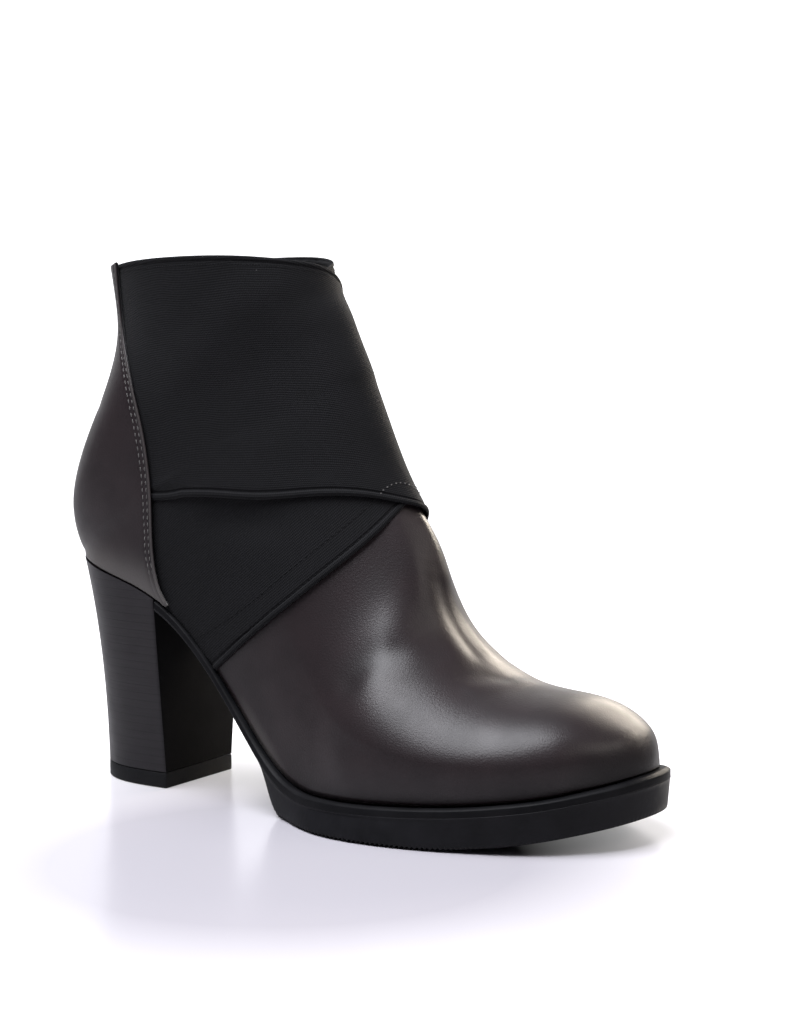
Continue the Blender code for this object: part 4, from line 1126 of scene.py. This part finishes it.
tread_levels.append(outline(sole_rows, foot_out - TREAD_INSETS[1], tread_z))
RUBBER_SHINE = {"Specular IOR Level": 0.16}
RUBBER_PEEL = 0.05
OUTSOLE_COLOURS = ((0.0078, 0.0076, 0.009, 1.0), (0.0135, 0.013, 0.0155, 1.0))
outsole_finish = clouded_material("outsole_finish", moulding, RUBBER_SIZES, OUTSOLE_COLOURS, (0.42, 0.54),
                                  RUBBER_PEEL, RUBBER_SHINE)
place(block_mesh("platform_sole", tread_levels), "outsole", "sole_rubber", (outsole_finish,))

# Heel: a block of stacked lifts, cut to a D, dyed black-brown and waxed; its layers still show faintly.
# It is nailed up through the heel seat, and its breast is left dull.
LIFT_THICK = 6.0
HEEL_LENGTH = 50.0     # both about, at the seat
HEEL_HALF_WIDTH = 30.0
HEEL_LENGTH_TAPER = 0.184
HEEL_WIDTH_TAPER = 0.247
HEEL_HOLLOW = 2.4      # more than 1 draws the back of the heel in early
HEEL_LEVELS = 90
HEEL_ROUND_X = -110.0  # behind here the outline turns round the back
STACK = 3.1            # thickness of one lift of the stack
STREAKS = (60.0, 60.0, 1400.0)    # streaks of the edges of the lifts, per metre
BREAST_FACING = 0.8    # faces that look forward this much are the breast
BREAST_ROUND = ((0.0, -0.9), (0.12, -0.45), (0.4, -0.15), (0.9, 0.0))    # back from the breast, and out
breast_x = [BREAST_X - back for back, _ in BREAST_ROUND]
side_x = np.linspace(BREAST_X - 2.0, HEEL_ROUND_X, 40)
round_rows = np.linspace(float(rows_at((HEEL_ROUND_X,))[0]), SEAT_ROW, 40)[1:]
heel_rows = np.concatenate([rows_at(breast_x), rows_at(side_x), round_rows])
heel_out = sole_at("welt_out", heel_rows)
heel_out[:len(BREAST_ROUND)] += [out for _, out in BREAST_ROUND]
heel_top = outline(heel_rows, heel_out, last_at("low_z", heel_rows) - SEAT_GAP)
heel_top[0, :, 0] = BREAST_X
heel_top[-1] = heel_top[-1].mean(axis=0)


def heel_level(down, z, out=0.0):
    """Outline of the heel a share of the way down, moved out a little."""
    level = heel_top.copy()
    drawn_in = HEEL_LENGTH_TAPER * (1.0 - (1.0 - down) ** HEEL_HOLLOW)
    level[..., 0] = BREAST_X + (level[..., 0] - BREAST_X) * (1.0 - drawn_in + out / HEEL_LENGTH)
    level[..., 1] = level[..., 1] * (1.0 - HEEL_WIDTH_TAPER * down + out / HEEL_HALF_WIDTH)
    level[..., 2] = z
    return level


heel_foot_z = LIFT_THICK + GAP
heel_levels = [heel_level(share, heel_top[..., 2] * (1.0 - share) + heel_foot_z * share)
               for share in np.linspace(0.0, 1.0, HEEL_LEVELS)]
stack_finish, stack_tree, stack_shader = new_material("stacked_heel", {
    "Coat Weight": 0.1, "Coat Roughness": 0.25, "Specular IOR Level": 0.35,
})
stack_skin = use_group(stack_tree, moulding, {"Peel": 0.9, "Cloud": 8.0})
stack_place = add_node(stack_tree, "ShaderNodeTexCoord").outputs["Object"]
stack_z = add_node(stack_tree, "ShaderNodeSeparateXYZ", {"Vector": stack_place}).outputs["Z"]
stack_wave = maths(stack_tree, 'PINGPONG', maths(stack_tree, 'DIVIDE', stack_z, STACK * MM), 0.5)
stack_line = spread(stack_tree, stack_wave, 0.0, 0.09, 0.0, 1.0)
stack_stretched = add_node(stack_tree, "ShaderNodeMapping", {"Vector": stack_place, "Scale": STREAKS})
stack_streak = add_node(stack_tree, "ShaderNodeTexNoise", {
    "Vector": stack_stretched.outputs["Vector"], "Scale": 1.0, "Detail": 3.0,
}).outputs["Fac"]
stack_share = maths(stack_tree, 'MULTIPLY', stack_line, spread(stack_tree, stack_streak, *CLOUD, 0.55, 1.0))
feed(stack_tree, stack_shader.inputs["Base Color"],
     blend_colours(stack_tree, stack_share, (0.0085, 0.0070, 0.0083, 1.0), (0.0165, 0.0135, 0.0163, 1.0)))
feed(stack_tree, stack_shader.inputs["Roughness"],
     spread(stack_tree, stack_skin.outputs["Cloud"], *CLOUD, 0.36, 0.46))
bump(stack_tree, stack_shader, maths(stack_tree, 'MULTIPLY', stack_line, stack_streak), 0.05)
# The breast is much darker than the sides: its own black finish, and painted shade where the waist above and
# the other boot of the pair shade it.
BREAST_SHADED_COLOURS = ((0.0028, 0.0027, 0.0031, 1.0), (0.0042, 0.0040, 0.0046, 1.0))
breast_shaded_finish = clouded_material("breast_shaded_finish", moulding, RUBBER_SIZES, BREAST_SHADED_COLOURS, (0.6, 0.7), 0.04,
                                 {"Specular IOR Level": 0.1})
heel_mesh = block_mesh("stacked_heel", heel_levels)
for face in heel_mesh.polygons:
    face.material_index = int(face.normal.x > BREAST_FACING)
place(heel_mesh, "heel", "heel_block", (stack_finish, breast_shaded_finish))

# Top lift: the wearing piece under the heel, moulded black rubber with a crisp lower edge. It is nailed on
# from below.

# Lift's section: out, and up from the floor.
LIFT_PROFILE = ((-0.35, LIFT_THICK), (0.0, LIFT_THICK - 0.35), (0.05, 3.0), (0.0, 0.4), (-0.3, 0.0))
LIFT_COLOURS = ((0.0085, 0.0085, 0.0095, 1.0), (0.014, 0.014, 0.015, 1.0))
lift_levels = [heel_level(1.0, z, out) for out, z in LIFT_PROFILE]
lift_finish = clouded_material("lift_finish", moulding, RUBBER_SIZES, LIFT_COLOURS, (0.42, 0.55),
                               RUBBER_PEEL, RUBBER_SHINE)
place(block_mesh("top_lift", lift_levels), "heel_top_lift", "sole_rubber", (lift_finish,))

# Studio: a white floor that runs out into a white background, a cool soft box overhead to the left, a
# warm strip behind on the right and a weak warm fill before the toe. The camera stands at the height of
# the collar, off the boot's outer side. Places here are in metres.
FLOOR_RADIUS = 6.0
FLOOR_Z = -0.2 * MM
FLOOR_GLOW_GAP = (0.03, -0.08, 0.0)    # where the floor has no painted glow, in front of the boot
FLOOR_GLOW_RUN = (0.08, 0.22)      # distances from there over which the painted glow turns it white
floor_mesh = bpy.data.meshes.new("floor")
floor_turns = np.linspace(0.0, 2.0 * pi, 64, endpoint=False)
floor_ring = [(FLOOR_RADIUS * np.cos(turn), FLOOR_RADIUS * np.sin(turn), FLOOR_Z) for turn in floor_turns]
floor_mesh.from_pydata(floor_ring, [], [tuple(range(len(floor_ring)))])
floor_paint, floor_tree, floor_shader = new_material("floor_paint", {
    "Roughness": 0.22, "Emission Color": (1.0, 1.0, 1.0, 1.0),
})
# Painted light: the floor glows though it is no lamp. The glow is nil at a spot in front of the boot and
# grows away from it, washing out the boot's shadow behind the heel and round about. Seen by the camera the
# floor is paler and glows fully; in the light it throws back it is darker and glows a tenth as much.
floor_place = add_node(floor_tree, "ShaderNodeTexCoord").outputs["Object"]
floor_away = add_node(floor_tree, "ShaderNodeVectorMath", {
    0: floor_place, 1: FLOOR_GLOW_GAP,
}, operation='DISTANCE')
floor_glow = spread(floor_tree, floor_away.outputs["Value"], *FLOOR_GLOW_RUN, 0.0, 0.9)
floor_seen = add_node(floor_tree, "ShaderNodeLightPath").outputs["Is Camera Ray"]
feed(floor_tree, floor_shader.inputs["Base Color"],
     blend_colours(floor_tree, floor_seen, (0.42, 0.41, 0.43, 1.0), (0.60, 0.575, 0.62, 1.0)))
feed(floor_tree, floor_shader.inputs["Emission Strength"],
     maths(floor_tree, 'MULTIPLY', floor_glow, spread(floor_tree, floor_seen, 0.0, 1.0, 0.1, 1.0)))
floor_mesh.materials.append(floor_paint)
floor = bpy.data.objects.new("floor", floor_mesh)
bpy.context.scene.collection.objects.link(floor)

# Backdrop: the white sheet behind the boot, which lights its rims from behind.
BACKDROP_AWAY = 1.9
BACKDROP_HALF = 2.2
BACKDROP_HEIGHT = 1.6
CAMERA_YAW = 32.48
backdrop_middle = np.array([-np.sin(radians(CAMERA_YAW)), np.cos(radians(CAMERA_YAW))]) * BACKDROP_AWAY
backdrop_right = np.array([np.cos(radians(CAMERA_YAW)), np.sin(radians(CAMERA_YAW))]) * BACKDROP_HALF
backdrop_corners = [(*(backdrop_middle + side * backdrop_right), z)
                    for side, z in ((-1.0, 0.0), (1.0, 0.0), (1.0, BACKDROP_HEIGHT), (-1.0, BACKDROP_HEIGHT))]
backdrop_mesh = bpy.data.meshes.new("backdrop")
backdrop_mesh.from_pydata(backdrop_corners, [], [(0, 1, 2, 3)])
backdrop_paint, backdrop_tree, backdrop_shader = new_material("backdrop_paint", {
    "Base Color": (0.9, 0.9, 0.9, 1.0), "Emission Color": (1.0, 1.0, 1.0, 1.0),
})
backdrop_seen = add_node(backdrop_tree, "ShaderNodeLightPath").outputs["Is Camera Ray"]
feed(backdrop_tree, backdrop_shader.inputs["Emission Strength"],
     spread(backdrop_tree, backdrop_seen, 0.0, 1.0, 0.45, 1.05))
backdrop_mesh.materials.append(backdrop_paint)
backdrop = bpy.data.objects.new("backdrop", backdrop_mesh)
bpy.context.scene.collection.objects.link(backdrop)

world = bpy.data.worlds.new("studio")
bpy.context.scene.world = world
world.use_nodes = True
world_tree = world.node_tree
world_back = world_tree.nodes["Background"]
world_back.inputs["Color"].default_value = (0.07, 0.07, 0.08, 1.0)
world_back.inputs["Strength"].default_value = 1.0
world_white = add_node(world_tree, "ShaderNodeBackground", {"Color": (1.0, 1.0, 1.0, 1.0), "Strength": 1.05})
world_seen = add_node(world_tree, "ShaderNodeLightPath").outputs["Is Camera Ray"]
world_mix = add_node(world_tree, "ShaderNodeMixShader", {
    0: world_seen, 1: world_back.outputs["Background"], 2: world_white.outputs["Background"],
})
world_tree.links.new(world_mix.outputs["Shader"], world_tree.nodes["World Output"].inputs["Surface"])

# Lights: name, place, aim, width, height, power and colour.
LIGHTS = (
    ("soft_box", (-0.14, -0.383, 1.391), (0.04, 0.0, 0.06), 1.05, 1.15, 37.0, (0.93, 0.95, 1.0)),
    ("warm_strip", (0.1, 0.77, 0.345), (0.05, 0.0, 0.07), 0.6, 0.13, 4.0, (1.0, 0.89, 0.75)),
    ("front_fill", (0.95, 0.22, 0.66), (0.05, 0.0, 0.07), 0.7, 0.4, 2.1, (1.0, 0.93, 0.86)),
)
for name, spot, aim, width, height, power, colour in LIGHTS:
    lamp = bpy.data.lights.new(name, 'AREA')
    lamp.shape = 'RECTANGLE'
    lamp.size = width
    lamp.size_y = height
    lamp.energy = power
    lamp.color = colour
    lamp_object = bpy.data.objects.new(name, lamp)
    lamp_object.location = spot
    lamp_object.visible_camera = False
    lamp_object.rotation_euler = (Vector(aim) - Vector(spot)).to_track_quat('-Z', 'Y').to_euler()
    bpy.context.scene.collection.objects.link(lamp_object)

CAMERA_PLACE = (0.4597, -0.6832, 0.1921)
CAMERA_PITCH = 5.56
FRAME_HEIGHT_PX = 1013
FOCAL_PX = 2223
camera_data = bpy.data.cameras.new("camera")
camera_data.sensor_width = 36.0
camera_data.lens = FOCAL_PX / FRAME_HEIGHT_PX * camera_data.sensor_width
camera = bpy.data.objects.new("camera", camera_data)
camera.location = CAMERA_PLACE
camera.rotation_euler = (radians(90.0 - CAMERA_PITCH), 0.0, radians(CAMERA_YAW))
bpy.context.scene.collection.objects.link(camera)
bpy.context.scene.camera = camera
bpy.context.scene.view_settings.view_transform = 'Standard'
